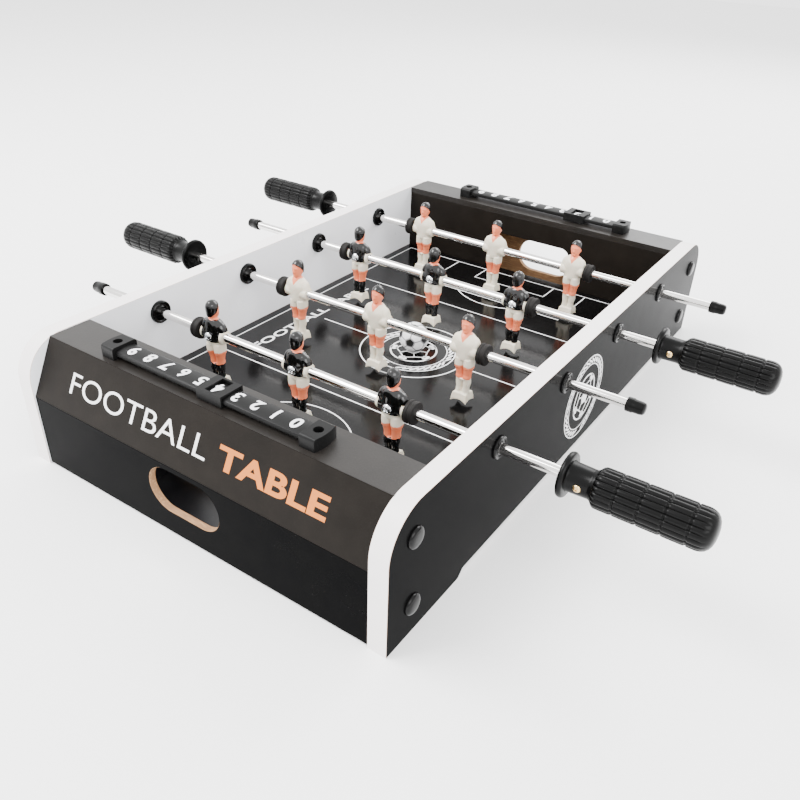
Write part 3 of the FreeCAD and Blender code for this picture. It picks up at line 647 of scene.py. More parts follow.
class FoosballPitch(bpy.types.PropertyGroup):
    field: tint("Field", "Colour of the playing field", (0.0035, 0.0033, 0.0033))
    line: size("Line width", "Width of the painted lines", 0.95)
    half_width: size("Half width", "Centre to the side line", 134)
    goal_line: size("Goal line", "Centre to the goal line", 194)
    zone_line: size("Zone line", "Centre to the full-width lines", 95.5)
    halfway: size("Halfway line", "Centre to the ends of the halfway line", 97)
    circle: size("Circle", "Radius of the centre circle", 45.5)
    box_width: size("Box width", "Width of the penalty box", 144)
    box_front: size("Box front", "Centre to the front of the penalty box", 131)
    area_width: size("Area width", "Width of the goal area", 77)
    area_front: size("Area front", "Centre to the front of the goal area", 169)
    arc: size("Arc", "Radius of the penalty arc", 52)
    # the margin ends where the painted shade along the side wall begins
    margin: size("Margin", "Side line to the black margin", 4.5)


class FoosballTeam(bpy.types.PropertyGroup):
    plastic: tint("Plastic", "The off-white plastic of both teams", (0.66, 0.6, 0.48))
    skin: tint("Skin", "Painted faces and knees", (0.7, 0.17, 0.075))
    black: tint("Black", "Gloss black paint", (0.002, 0.002, 0.002))
    voxel: FloatProperty(name="Detail", description="Mesh size of a player, in millimetres", default=0.45)


class FoosballStage(bpy.types.PropertyGroup):
    place: FloatVectorProperty(name="Camera", description="Camera position", subtype="TRANSLATION",
                               default=(0.31872, -0.4958, 0.34984))
    azimuth: FloatProperty(name="Azimuth", description="Camera heading, in degrees", default=32.81)
    elevation: FloatProperty(name="Elevation", description="Camera height angle, in degrees", default=32.277)
    roll: FloatProperty(name="Roll", description="Camera roll, in degrees", default=2.54)
    lens: FloatProperty(name="Lens", description="Focal length, in millimetres", default=35.557)
    shift: FloatVectorProperty(name="Shift", description="Lens shift", size=2, default=(-0.0129, 0.0044))
    world: FloatProperty(name="World", description="Brightness of the surroundings", default=2.8)


# ---------------------------------------------------------------- cabinet


FLAT_ON = 0.99  # a face whose normal lies this far along an axis looks straight along it
EXIT_HALF = 36 * MM
EXIT_LOW, EXIT_HIGH = 15 * MM, 53 * MM


class FOOSBALL_OT_side_boards(bpy.types.Operator):
    """Both side boards: black outside, white inside, with a white edge band"""

    bl_idname = "foosball.side_boards"
    bl_label = "Side Boards"

    def execute(self, context):
        edge = context.scene.foosball_cabinet.edge
        finishes = laminate_outer("outer_laminate"), laminate_inner(), edge_band(), band_glue()
        for side, sign in SIDES.items():
            node = f"side_board_{side}"
            board = dress(softened(node, edge, segments=2, bevel_slot=3), *finishes)

            def choose(place, normal, sign=sign):
                if abs(normal.x) > FLAT_ON:
                    return 0 if normal.x * sign > 0 else 1
                # the rounded edges between the faces and the edge band get slot 3, the warm line of painted
                # floor reflection
                return 3 if abs(normal.x) > 0.05 else 2

            dress_faces(board, choose)
            piece(board, "table", "side_laminate", node, angle=15)
        return {"FINISHED"}


class FOOSBALL_OT_end_boards(bpy.types.Operator):
    """The goal walls, top, slope and front boards of both ends"""

    bl_idname = "foosball.end_boards"
    bl_label = "End Boards"

    def execute(self, context):
        dark, level = charcoal("charcoal_laminate", 0.08), charcoal("charcoal_top", 0.32)
        gloss, raw = laminate_outer("front_gloss"), fibreboard()
        for end, sign in ENDS.items():

            def bare(place, normal, sign=sign):
                """The back of the front board and the wall of its ball exit."""
                hole = abs(place.x) < EXIT_HALF and EXIT_LOW < place.z < EXIT_HIGH and abs(normal.y) < 0.9
                return int(hole or normal.y * sign < -FLAT_ON)

            for part, face in (("goal_wall", dark), ("top_board", level), ("slope_board", dark),
                               ("front_board", gloss)):
                node = f"{end}_{part}"
                board = dress(softened(node, 0.25, segments=1), face, raw)
                slot = "charcoal_laminate"
                if face is gloss:
                    dress_faces(board, bare)
                    slot = "black_laminate"
                piece(board, "table", slot, node, angle=15)
        return {"FINISHED"}


class FOOSBALL_OT_inside_boards(bpy.types.Operator):
    """The pitch board with its print, and the trays, battens and blocks under it"""

    bl_idname = "foosball.inside_boards"
    bl_label = "Pitch and Inside Boards"

    def execute(self, context):
        nodes = frame["nodes"]
        dress(nodes["pitch_board"], pitch_print())
        wood = pine()
        tray = moulded("tray_plastic", (0.006, 0.006, 0.008), 0.32)
        dress(nodes["pitch_battens"], wood)
        for end in ENDS:
            dress(nodes[f"{end}_corner_blocks"], wood)
            dress(nodes[f"{end}_ball_tray"], tray)
        return {"FINISHED"}


def domed_screw(name, radius, dome, recess, length=12, shank=1.25):
    """A domed screw with a cross recess. It points along -X, with the underside of its head at 0."""
    crown = [(0, radius * 0.96), (dome * 0.25, radius), (dome * 0.6, radius * 0.82),
             (dome * 0.88, radius * 0.5), (dome, radius * 0.16)]
    body = turned(f"{name}_head", crown, 32)
    bars = []
    for angle in (45, 135):
        deselect()
        bpy.ops.mesh.primitive_cube_add(size=1)
        bar = settle(bpy.context.object, scale=(recess * 2 * MM, radius * 1.15 * MM, radius * 0.3 * MM))
        settle(bar, location=(dome * MM, 0, 0), turn=(angle, 0, 0))
        modify(bar, "BEVEL", width=radius * 0.06 * MM, segments=1)
        bars.append(bar)
    for bar in bars:
        modify(body, "BOOLEAN", operation="DIFFERENCE", solver="EXACT", object=bar)
        discard(bar)
    thread = [(-length, shank * 0.4)]
    for turn in range(8):
        start = -length * (1 - turn / 8)
        thread += [(start + 0.3, shank), (start + 0.7, shank * 0.82)]
    thread.append((0.1, shank * 0.82))
    return join(name, [body, turned(f"{name}_thread", thread, 20)])


PLAYER_SEAT, HANDLE_SEAT = 6.5 * MM, 9.0 * MM  # rod's axis to the underside of the screw's head
HANDLE_SCREW_X = 11.5 * MM
SCORE_SCREW_X = 6.25 * MM
SCORE_DOME = 1.6 * MM


def handle_start(rod):
    """Where a handle's flange begins."""
    low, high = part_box(f"handle_{rod}")
    return low.x if HANDLE_SIDE[rod] > 0 else high.x


class FOOSBALL_OT_small_metal(bpy.types.Operator):
    """Screws in the players and handles, in the score blocks and in the side boards"""

    bl_idname = "foosball.small_metal"
    bl_label = "Screws"

    def execute(self, context):
        zinc = metal("zinc_screw", (0.78, 0.8, 0.82), 0.22)
        brass = metal("brass_screw", (0.72, 0.52, 0.25), 0.28)
        black_screw = metal("black_screw", (0.05, 0.05, 0.055), 0.4)
        large = domed_screw("player_screw", 3.45, 2.15, 1.0)
        small = domed_screw("handle_screw", 2.4, 1.5, 0.8)
        for rod in RODS:
            side = HANDLE_SIDE[rod]
            screws = [(large, centre(f"player_{rod}_{spot}").x, PLAYER_SEAT, zinc) for spot in SPOTS]
            screws.append((small, handle_start(rod) + side * HANDLE_SCREW_X, HANDLE_SEAT, brass))
            stands_for = [f"rod_screws_{rod}"]
            for index, (pattern, x, seat, material) in enumerate(screws, 1):
                screw = placed(pattern, f"rod_screw_{rod}_{index}", material,
                               (x, centre(f"rod_{rod}").y - side * seat, ROD_AXIS_Z), (0, 0, -90 * side))
                piece(screw, f"rod_{rod}_spin", "zinc_screw", *stands_for)
                stands_for = []
        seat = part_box("score_screws")[1].z - SCORE_DOME
        stands_for = ["score_screws"]
        for end in ENDS:
            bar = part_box(f"{end}_score_bar")
            for (side, sign), corner in zip(SIDES.items(), bar):
                place = (corner.x + sign * SCORE_SCREW_X, centre(f"{end}_score_bar").y, seat)
                screw = placed(small, f"score_screw_{end}_{side}", black_screw, place, (0, -90, 0))
                piece(screw, "table", "zinc_screw", *stands_for)
                stands_for = []
        discard(large)
        discard(small)
        dress(frame["nodes"]["side_screws"], metal("side_screw", (0.7, 0.71, 0.72), 0.3))
        return {"FINISHED"}


CAP_RADIUS = 7 * MM


class FOOSBALL_OT_bushings(bpy.types.Operator):
    """Screw caps, and the dished bushings that the rods run in"""

    bl_idname = "foosball.bushings"
    bl_label = "Bushings and Screw Caps"

    def execute(self, context):
        gloss = moulded("gloss_plastic", (0.0015, 0.0015, 0.0015), 0.16, grain=0.03, dust=0.0,
                        Specular_IOR_Level=0.15)
        flange = [(-1.7, 3.65), (-1.7, 4.3), (-1.2, 4.8), (-1.0, 5.8), (-1.5, 6.3), (-1.65, 6.9), (-1.4, 7.4),
                  (-0.7, 7.75), (0.0, 7.75), (0.0, 6.0)]
        inner = [(13.0, 6.0), (13.0, 9.0), (14.2, 9.0), (15.4, 8.7), (15.9, 8.0), (15.7, 7.3), (15.0, 6.6),
                 (15.3, 5.3), (16.0, 4.7), (16.0, 3.65), (-1.7, 3.65)]
        bushing = turned("bushing_pattern", flange + inner, 48, ring=True)
        cap = turned("cap_pattern", [(-2.6, 1.2), (-2.5, 3.6), (-2.1, 5.4), (-1.4, 6.5), (-0.6, 7.0),
                                     (0.0, 7.0)], 48)
        outward_turn = {-1: (0, 0, 0), 1: (0, 0, 180)}
        stands_for = ["rod_bushings", "bushing_collars"]
        for side, sign in SIDES.items():
            for rod in RODS:
                twin = placed(bushing, f"bushing_{side}_{rod}", gloss,
                              (sign * OUTER_X, centre(f"rod_{rod}").y, ROD_AXIS_Z), outward_turn[sign])
                piece(twin, "table", "black_plastic", *stands_for)
                stands_for = []
        low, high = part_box("screw_caps")
        stands_for = ["screw_caps"]
        corners = itertools.product((-1, 1), (-1, 1), (low.z + CAP_RADIUS, high.z - CAP_RADIUS))
        for index, (sign, along, z) in enumerate(corners, 1):
            twin = placed(cap, f"screw_cap_{index}", gloss,
                          (sign * OUTER_X, along * (high.y - CAP_RADIUS), z), outward_turn[sign])
            piece(twin, "table", "black_plastic", *stands_for)
            stands_for = []
        discard(bushing)
        discard(cap)
        return {"FINISHED"}


# ---------------------------------------------------------------- rods and what they carry


GRIP_BANDS = 5
GRIP_RIBS = 20
RIB_END, RIB_FADE = 80.5, 3  # where the ribs begin to fade into the tip, and over what length, in millimetres


def handle_pattern():
    """A handle along X from its flange: disc, neck and ribbed grip with ring grooves."""
    plate = [(0.0, 3.6), (0.0, 12.6), (0.5, 13.6), (1.6, 14.0), (2.6, 14.0), (3.6, 13.4), (4.0, 12.4),
             (4.1, 9.8), (5.2, 9.2), (17.0, 8.9), (18.2, 9.1), (19.4, 9.9), (22.0, 9.9)]
    core = turned("handle_core", plate, 64)
    start, length, radius = 19.0, 88.0, 12.5
    band = (length - start) / GRIP_BANDS
    grip = [(start, 8.8), (start + 0.7, 10.4), (start + 1.8, 11.6)]
    for index in range(GRIP_BANDS):
        near = start + band * index
        far = near + band
        if index:
            grip += [(near + 0.35, radius * 0.945), (near + 0.75, radius * 0.99)]
        grip += [(near + (3.2 if index == 0 else 1.6), radius * 0.995), (near + 4.6, radius)]
        if index < GRIP_BANDS - 1:
            grip += [(far - 1.6, radius), (far - 0.75, radius * 0.99), (far - 0.35, radius * 0.945)]
    grip += [(79.5, radius), (81.0, 12.3), (82.5, 11.9), (84.2, 11.0), (85.8, 9.4), (87.0, 7.2), (87.7, 4.4),
             (88.0, 1.4)]
    ribbed = turned("handle_grip", grip, GRIP_RIBS * 8, ribs=GRIP_RIBS, rib_depth=0.075)
    crests = {}
    for vertex in ribbed.data.vertices:
        level = round(vertex.co.x / MM, 1)
        crests[level] = max(crests.get(level, 0), math.hypot(vertex.co.y, vertex.co.z))
    for vertex in ribbed.data.vertices:
        fade = min(1, max(0, (vertex.co.x / MM - RIB_END) / RIB_FADE))
        fill = crests[round(vertex.co.x / MM, 1)] / math.hypot(vertex.co.y, vertex.co.z)
        vertex.co.yz *= 1 + (fill - 1) * fade
    return join("handle_pattern", [core, ribbed])


RING_HALF = 3.5 * MM


class FOOSBALL_OT_rods(bpy.types.Operator):
    """Steel rods with their handles, end caps and bumper rings"""

    bl_idname = "foosball.rods"
    bl_label = "Rods and Handles"

    def execute(self, context):
        steel = metal("rod_steel", (0.8, 0.78, 0.76), 0.09, (14.0, 700.0, 700.0))
        black = moulded("handle_plastic", (0.0018, 0.0018, 0.0018), 0.28, grain=0.15, grain_scale=1100,
                        dust=0.0, Specular_IOR_Level=0.1)
        rubbery = rubber()
        handle = handle_pattern()
        cap = turned("cap_pattern", [(-6.5, 3.6), (-6.5, 4.5), (-6.2, 4.9), (-2.0, 5.0), (-1.4, 4.6),
                                     (3.2, 4.5), (5.4, 4.1), (6.3, 2.9), (6.5, 0.8)], 24)
        ring = turned("ring_pattern", [(-3.5, 3.6), (-3.5, 6.9), (-3.1, 7.7), (-2.2, 8.0), (-1.2, 8.0),
                                       (-0.9, 7.6), (0.5, 7.6), (0.8, 8.0), (2.2, 8.0), (3.1, 7.7),
                                       (3.5, 6.9), (3.5, 5.2), (2.9, 4.6), (3.5, 4.1), (3.5, 3.6),
                                       (-3.5, 3.6)], 48, ring=True)
        for rod in RODS:
            turn = 0 if HANDLE_SIDE[rod] > 0 else 180
            y = centre(f"rod_{rod}").y
            dress(frame["nodes"][f"rod_{rod}"], steel)
            twin = placed(handle, f"handle_{rod}_finished", black, (handle_start(rod), y, ROD_AXIS_Z),
                          (0, 0, turn))
            piece(twin, f"rod_{rod}_spin", "handle_plastic", f"handle_{rod}", angle=50)
            twin = placed(cap, f"rod_cap_{rod}_finished", black, (centre(f"rod_cap_{rod}").x, y, ROD_AXIS_Z),
                          (0, 0, 180 - turn))
            piece(twin, f"rod_{rod}_spin", "handle_plastic", f"rod_cap_{rod}")
            low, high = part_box(f"bumpers_{rod}")
            stands_for = [f"bumpers_{rod}"]
            for index, x in enumerate((low.x + RING_HALF, high.x - RING_HALF)):
                twin = placed(ring, f"bumper_{rod}_{index + 1}", rubbery, (x, y, ROD_AXIS_Z),
                              (0, 0, 180 * index))
                piece(twin, f"rod_{rod}_slide", "bumper_rubber", *stands_for)
                stands_for = []
        for pattern in (handle, cap, ring):
            discard(pattern)
        return {"FINISHED"}


def folded_cloth(obj, strength, scale):
    """Shirt folds pressed into a moulded form."""
    modify(obj, "SUBSURF", levels=2, render_levels=2)
    texture = bpy.data.textures.get("folds") or bpy.data.textures.new("folds", "CLOUDS")
    texture.noise_scale = scale * MM
    modify(obj, "DISPLACE", texture=texture, strength=strength * MM, mid_level=0.5, texture_coords="LOCAL")
    return obj


def boots():
    """The kicking block: sides pulled in between the corners, hollow underneath, narrow at the ankles."""
    deselect()
    bpy.ops.mesh.primitive_cube_add(size=1)
    wide, deep, high = 14 * MM, 12.5 * MM, 8 * MM
    block = settle(bpy.context.object, location=(0, 0, high / 2 - 44 * MM), scale=(wide, deep, high))
    edit(block)
    bpy.ops.mesh.subdivide(number_cuts=9)
    done()
    for vertex in block.data.vertices:
        x = vertex.co.x * 2 / wide
        y = vertex.co.y * 2 / deep
        up = (vertex.co.z + 44 * MM) / high
        narrow = 1 - 0.1 * up - 0.14 * max(0, up - 0.5)
        vertex.co.x *= narrow * (1 - 0.1 * (1 - y * y))
        vertex.co.y *= narrow * (1 - 0.14 * (1 - x * x))
        vertex.co.z += max(0, 1 - up * 1.6) * (2.2 * (1 - x * x) + 1.4 * (1 - y * y)) * MM
    return modify(block, "BEVEL", width=0.4 * MM, segments=2, limit_method="ANGLE", angle_limit=0.9)


def head():
    """Head, neck, nose, ears and a cap of hair that comes down behind."""
    skull = stacked("skull", [(13.4, 1.6, 2.0, 0, 1.4), (14.2, 2.9, 3.3, 0, 1.0), (16.0, 3.8, 4.3, 0, 0.4),
                              (18.6, 4.3, 4.8, 0, 0.1), (21.2, 4.4, 4.9, 0, -0.1), (23.6, 3.8, 4.4, 0, -0.2),
                              (25.3, 2.4, 3.0, 0, -0.3), (26.0, 1.0, 1.2, 0, -0.3)], 24)
    neck = stacked("neck", [(9.0, 3.6, 3.4, 0, -0.2), (12.0, 3.0, 2.9, 0, -0.1), (16.0, 2.7, 2.8, 0, 0)], 20)
    nose = stacked("nose", [(16.9, 0.7, 0.7, 0, 4.6), (17.6, 1.0, 1.3, 0, 4.7), (19.6, 0.55, 0.7, 0, 4.7),
                            (20.6, 0.3, 0.3, 0, 4.5)], 12)
    brow = bulb("brow", (0, 4.0, 20.9), (2.9, 1.1, 0.6), 14)
    chin = bulb("chin", (0, 4.1, 14.9), (1.5, 1.1, 1.0), 14)
    ears = [bulb(f"ear_{side}", (side * 4.35, -0.1, 18.8), (0.6, 1.2, 1.6), 12) for side in (-1, 1)]
    hair = stacked("hair", [(13.8, 3.0, 2.9, 0, -1.4), (16.0, 4.2, 4.2, 0, -0.8), (19.0, 4.8, 5.0, 0, -0.3),
                            (22.0, 4.9, 5.3, 0, -0.2), (24.4, 4.2, 4.7, 0, -0.3), (26.2, 2.7, 3.2, 0, -0.4),
                            (27.0, 1.0, 1.2, 0, -0.4)], 24)
    edit(hair)
    bpy.ops.mesh.bisect(plane_co=(0, 0, HAIRLINE * MM), plane_no=(0, 0.74, -0.673), use_fill=True,
                        clear_outer=True)
    done()
    return [skull, neck, nose, brow, chin, hair, *ears]


def figure_pattern(context):
    """One player round the rod's axis, facing +Y, fused into a single moulded form."""
    torso = stacked("torso", [(-9.5, 6.6, 4.9), (-7.0, 7.4, 5.4), (-4.0, 8.6, 5.8, 0, -0.2),
                              (0.0, 9.6, 6.2, 0, -0.2), (4.0, 10.0, 6.4, 0, 0.1), (7.5, 9.6, 6.0, 0, 0.1),
                              (10.2, 8.0, 5.0), (12.0, 5.6, 3.9, 0, -0.2), (13.2, 3.4, 3.0, 0, -0.2)], 24)
    parts = [folded_cloth(torso, 0.9, 6.0)]
    for side in (-1, 1):
        arm = stacked("arm", [(-4.6, 1.4, 2.6, side * 9.4, 0.6), (-3.4, 2.1, 3.4, side * 9.4, 0.5),
                              (-1.0, 2.4, 3.8, side * 9.5, 0.3), (3.0, 2.6, 4.0, side * 9.2, 0),
                              (7.0, 2.8, 3.7, side * 8.4, 0), (9.8, 2.5, 3.0, side * 7.2, 0),
                              (11.2, 1.3, 1.6, side * 6.2, 0)], 16)
        parts.append(folded_cloth(arm, 0.5, 4.0))
        parts.append(stacked("leg", [
            (-38.0, 2.9, 3.4, side * 2.7, 0.2), (-34.0, 2.7, 3.1, side * 2.7, 0.1),
            (-32.0, 2.5, 2.9, side * 2.8, 0), (-28.5, 3.0, 3.5, side * 3.0, -0.4),
            (-26.0, 3.0, 3.4, side * 3.0, -0.2), (-24.2, 2.9, 3.3, side * 3.0, 0.2),
            (-23.2, 3.1, 3.6, side * 3.0, 0.3), (-20.5, 3.0, 3.4, side * 3.1, 0.1),
            (-15.6, 3.6, 4.2, side * 3.5, 0), (-15.0, 3.9, 5.0, side * 3.7, 0),
            (-11.0, 4.1, 5.3, side * 3.7, 0), (-7.0, 4.0, 5.3, side * 3.6, 0)], 20))
    parts.append(stacked("sock_rim", [(-24.9, 6.1, 3.6), (-24.4, 6.3, 3.75), (-23.9, 6.1, 3.6)], 28))
    parts.append(turned("hub", [(-11.0, 4.2), (-11.0, 4.9), (-10.5, 5.3), (10.5, 5.3), (11.0, 4.9),
                                (11.0, 4.2)], 32))
    parts.append(bulb("screw_boss", (0, -4.6, 0), (4.2, 2.6, 4.2), 20))
    parts += [*head(), boots()]
    figure = join("figure_pattern", parts)
    modify(figure, "REMESH", mode="VOXEL", voxel_size=context.scene.foosball_team.voxel * MM)
    modify(figure, "SMOOTH", factor=0.5, iterations=3)
    attribute = figure.data.attributes.new("figure", "FLOAT_VECTOR", "POINT")
    attribute.data.foreach_set("vector", [value for vertex in figure.data.vertices for value in vertex.co])
    return figure


class FOOSBALL_OT_players(bpy.types.Operator):
    """Twelve players, three on each rod"""

    bl_idname = "foosball.players"
    bl_label = "Players"

    def execute(self, context):
        paints = {team: figure_paint(team) for team in ("dark", "light")}
        figure = figure_pattern(context)
        for rod in RODS:
            team = TEAM[rod]
            for spot in SPOTS:
                node = f"player_{rod}_{spot}"
                place = (centre(node).x, centre(f"rod_{rod}").y, ROD_AXIS_Z)
                twin = placed(figure, f"{node}_finished", paints[team], place,
                              (0, 0, 0 if team == "dark" else 180))
                piece(twin, f"rod_{rod}_spin", f"{team}_team", node, angle=60)
        discard(figure)
        return {"FINISHED"}


# ---------------------------------------------------------------- score counters, ball and print


def words(name, text, height, length, weight, material, location, turn, thickness=0.12):
    """Flat lettering as a thin solid: capitals of one height, stretched to one length, centred in place."""
    deselect()
    bpy.ops.object.text_add()
    label = bpy.context.object
    label.data.body = text
    label.data.offset = weight
    label.data.extrude = 0.1
    label.data.resolution_u = 6
    bpy.ops.object.convert(target="MESH")
    label.name = name
    low = [min(vertex.co[axis] for vertex in label.data.vertices) for axis in range(3)]
    high = [max(vertex.co[axis] for vertex in label.data.vertices) for axis in range(3)]
    middle = [(first + last) / 2 for first, last in zip(low, high)]
    for vertex in label.data.vertices:
        vertex.co = [value - shift for value, shift in zip(vertex.co, middle)]
    wide = length / (high[0] - low[0]) if length else height / (high[1] - low[1])
    settle(label, scale=(wide, height / (high[1] - low[1]), thickness * MM / (high[2] - low[2])))
    settle(label, location=location, turn=turn)
    return outward(dress(label, material))


DIGIT_PITCH, DIGIT_HEIGHT = 15.2 * MM, 9.7 * MM
BAR_CROWN = 1 * MM  # how far the bar's top falls from its middle line to its edges


class FOOSBALL_OT_score_counters(bpy.types.Operator):
    """Both score counters: numbered bars, end blocks and sliders"""

    bl_idname = "foosball.score_counters"
    bl_label = "Score Counters"

    def execute(self, context):
        black = moulded("score_plastic", (0.004, 0.004, 0.004), 0.42, grain=0.25, grain_scale=1300, dust=0.0,
                        Specular_IOR_Level=0.13)
        white = ink("digit_white", (0.82, 0.82, 0.84))
        for end in ENDS:
            node = f"{end}_score_bar"
            bar = dress(softened(node, 0.4), black)
            piece(bar, "table", "score_plastic", node, angle=20)
            low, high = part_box(node)
            middle = (low + high) / 2
            half = (high.y - low.y) / 2
            for digit in range(10):
                x = middle.x + (4.5 - digit) * DIGIT_PITCH
                label = words(f"{end}_digit_{digit}", str(digit), DIGIT_HEIGHT, 0, 0.03, white,
                              (x, middle.y, high.z), (0, 0, 180))
                edit(label)
                bpy.ops.mesh.subdivide(number_cuts=2)
                done()
                for vertex in label.data.vertices:
                    vertex.co.z -= ((vertex.co.y - middle.y) / half) ** 2 * BAR_CROWN
                piece(label, "table", "score_plastic")
            dress(frame["nodes"][f"{end}_score_slider"], black)
        blocks = dress(softened("score_end_blocks", 0.5), black)
        piece(blocks, "table", "score_plastic", "score_end_blocks", angle=20)
        return {"FINISHED"}


def flat_ring(name, radius, width, thickness, material):
    inner, outer, half = radius - width, radius, thickness / 2
    section = [(-half, inner), (-half, outer), (half, outer), (half, inner), (-half, inner)]
    return dress(stacked(name, section, 96, ring=True), material)


def flat_polygon(name, sides, radius, thickness, material, location=(0, 0), turn=0):
    """A small flat tile with slightly drawn-in sides."""
    deselect()
    bpy.ops.mesh.primitive_cylinder_add(vertices=sides, radius=radius * MM, depth=thickness * MM)
    tile = settle(bpy.context.object, location=(location[0] * MM, location[1] * MM, 0), turn=(0, 0, turn))
    edit(tile)
    bpy.ops.mesh.bevel(offset=radius * 0.08 * MM, affect="EDGES")
    done()
    tile.name = name
    return dress(tile, material)


def flat_bar(name, start, stop, width, thickness, material):
    """A thin straight bar between two places on the plane."""
    along = Vector(stop) - Vector(start)
    deselect()
    bpy.ops.mesh.primitive_cube_add(size=MM)
    bar = settle(bpy.context.object, scale=(along.length, width, thickness))
    middle = (Vector(start) + Vector(stop)) / 2 * MM
    settle(bar, location=(*middle, 0), turn=(0, 0, math.degrees(math.atan2(along.y, along.x))))
    return dress(bar, material)


def rosette(name, radius, material, thickness=0.12):
    """A generic football badge: two rings with leaves between them, round a ball."""
    def out(share, angle):
        return (radius * share * math.cos(angle), radius * share * math.sin(angle))

    def bar(label, start, stop, width):
        parts.append(flat_bar(label, start, stop, radius * width, thickness, material))

    parts = [flat_ring("ring", radius * reach, radius * width, thickness, material)
             for reach, width in ((1, 0.028), (0.8, 0.022), (0.56, 0.04))]
    leaves = 36
    for index in range(leaves):
        angle = math.tau * (index + 0.5) / leaves
        tilt = 0.12 if index < leaves / 2 else -0.12
        if abs(math.sin(angle) + 1) > 0.02:
            bar("leaf", out(0.84, angle - tilt), out(0.94, angle + tilt), 0.045)
    parts.append(flat_polygon("patch", 5, radius * 0.18, thickness, material))
    step = math.tau / 10
    for index in range(5):
        angle = math.pi / 2 + math.tau * index / 5
        knot = out(0.33, angle)
        bar("seam", out(0.17, angle), knot, 0.028)
        for swing in (-1, 1):
            bar("seam", knot, out(0.43, angle + swing * step), 0.028)
        parts.append(flat_polygon("patch", 5, radius * 0.11, thickness, material, out(0.475, angle + step),
                                  math.degrees(angle + step) + 90))
    return join(name, parts)


SLOPE_FOLD = Vector((0, -234 * MM, 94.5 * MM))  # the near slope's upper and lower edges
SLOPE_FOOT = Vector((0, -254 * MM, 56 * MM))
WORDS_UP = 20.7 / 43.4  # how far up the slope the words' middle line lies


class FOOSBALL_OT_print(bpy.types.Operator):
    """Printed words and badges: generic ones, on the slopes, the pitch and the side boards"""

    bl_idname = "foosball.print"
    bl_label = "Print"

    def execute(self, context):
        settings = context.scene.foosball_cabinet
        white = ink("print_white", (0.85, 0.85, 0.85))
        orange = ink("print_orange", tuple(settings.orange))
        rise = SLOPE_FOLD - SLOPE_FOOT
        lean = math.degrees(math.atan2(rise.z, rise.y))
        middle = SLOPE_FOOT + rise * WORDS_UP
        lift = Vector((0, -math.sin(math.radians(lean)), math.cos(math.radians(lean)))) * 0.02 * MM
        for end, sign in ENDS.items():
            for part, text, start, stop, weight, material in (
                    ("first", settings.first_word, -110, 16, -0.004, white),
                    ("second", settings.second_word, 25, 107.5, 0.03, orange)):
                place = middle + lift + Vector(((start + stop) / 2 * MM, 0, 0))
                label = words(f"{end}_slope_{part}_word", text, settings.lettering, (stop - start) * MM,
                              weight, material, place, (lean, 0, 0))
                if sign > 0:
                    settle(label, turn=(0, 0, 180))
                piece(label, "table", "charcoal_laminate")
        label = words("pitch_words", f"{settings.first_word} {settings.second_word}", 9 * MM, 154 * MM, 0.02,
                      white, (-109 * MM, 0, PITCH_TOP + 0.03 * MM), (0, 0, 90), thickness=0.08)
        piece(label, "table", "pitch_print")
        badge = settle(rosette("pitch_badge", 36, white, 0.08), location=(0, 0, PITCH_TOP + 0.03 * MM))
        piece(badge, "table", "pitch_print")
        for side, sign in SIDES.items():
            badge = settle(rosette(f"side_badge_{side}", 33, white), turn=(90, 0, 90 * sign))
            settle(badge, location=(sign * (OUTER_X + 0.04 * MM), -5 * MM, 46 * MM))
            piece(badge, "table", "side_laminate")
        return {"FINISHED"}


class FOOSBALL_OT_ball(bpy.types.Operator):
    """The ball: white and black panels with sunken seams"""

    bl_idname = "foosball.ball"
    bl_label = "Ball"

    def execute(self, context):
        low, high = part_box("ball")
        radius = (high.x - low.x) / 2
        deselect()
        bpy.ops.mesh.primitive_ico_sphere_add(subdivisions=1, radius=radius)
        ball = bpy.context.object
        ball.name = "ball_finished"
        white = moulded("ball_white", (0.82, 0.82, 0.83), 0.3, grain=0.1)
        black = moulded("ball_black", (0.004, 0.004, 0.004), 0.3, grain=0.1)
        dress(ball, white, black, moulded("ball_seam", (0.25, 0.25, 0.26), 0.5))
        edit(ball)
        bpy.ops.mesh.bevel(offset_type="PERCENT", offset_pct=33.333, affect="VERTICES")
        done()
        for polygon in ball.data.polygons:
            polygon.material_index = 1 if len(polygon.vertices) == 5 else 0
        edit(ball)
        bpy.ops.mesh.inset(thickness=0.035 * radius, use_individual=True)
        mesh = bmesh.from_edit_mesh(ball.data)
        for face in mesh.faces:
            if not face.select:
                face.material_index = 2
        bmesh.update_edit_mesh(ball.data)
        done()
        modify(ball, "SUBSURF", subdivision_type="SIMPLE", levels=3, render_levels=3)
        modify(ball, "CAST", factor=1.0, radius=radius, size=radius, use_radius_as_size=True)
        seams = set()
        panels = set()
        for polygon in ball.data.polygons:
            (seams if polygon.material_index == 2 else panels).update(polygon.vertices)
        for index in seams - panels:
            ball.data.vertices[index].co *= 0.99
        settle(ball, location=centre("ball"), turn=(24, 12, 0))
        piece(outward(ball), "ball", "ball_plastic", "ball", angle=60)
        return {"FINISHED"}


# ---------------------------------------------------------------- stage


def soft_light(name, location, width, power, target=(0, 0, 0.05)):
    deselect()
    bpy.ops.object.light_add(type="AREA", location=location)
    light = bpy.context.object
    light.name = name
    light.data.energy = power
    light.data.shape = "RECTANGLE"
    light.data.size = width
    light.data.size_y = width * 0.7
    aim = Vector(target) - Vector(location)
    light.rotation_euler = aim.to_track_quat("-Z", "Y").to_euler()


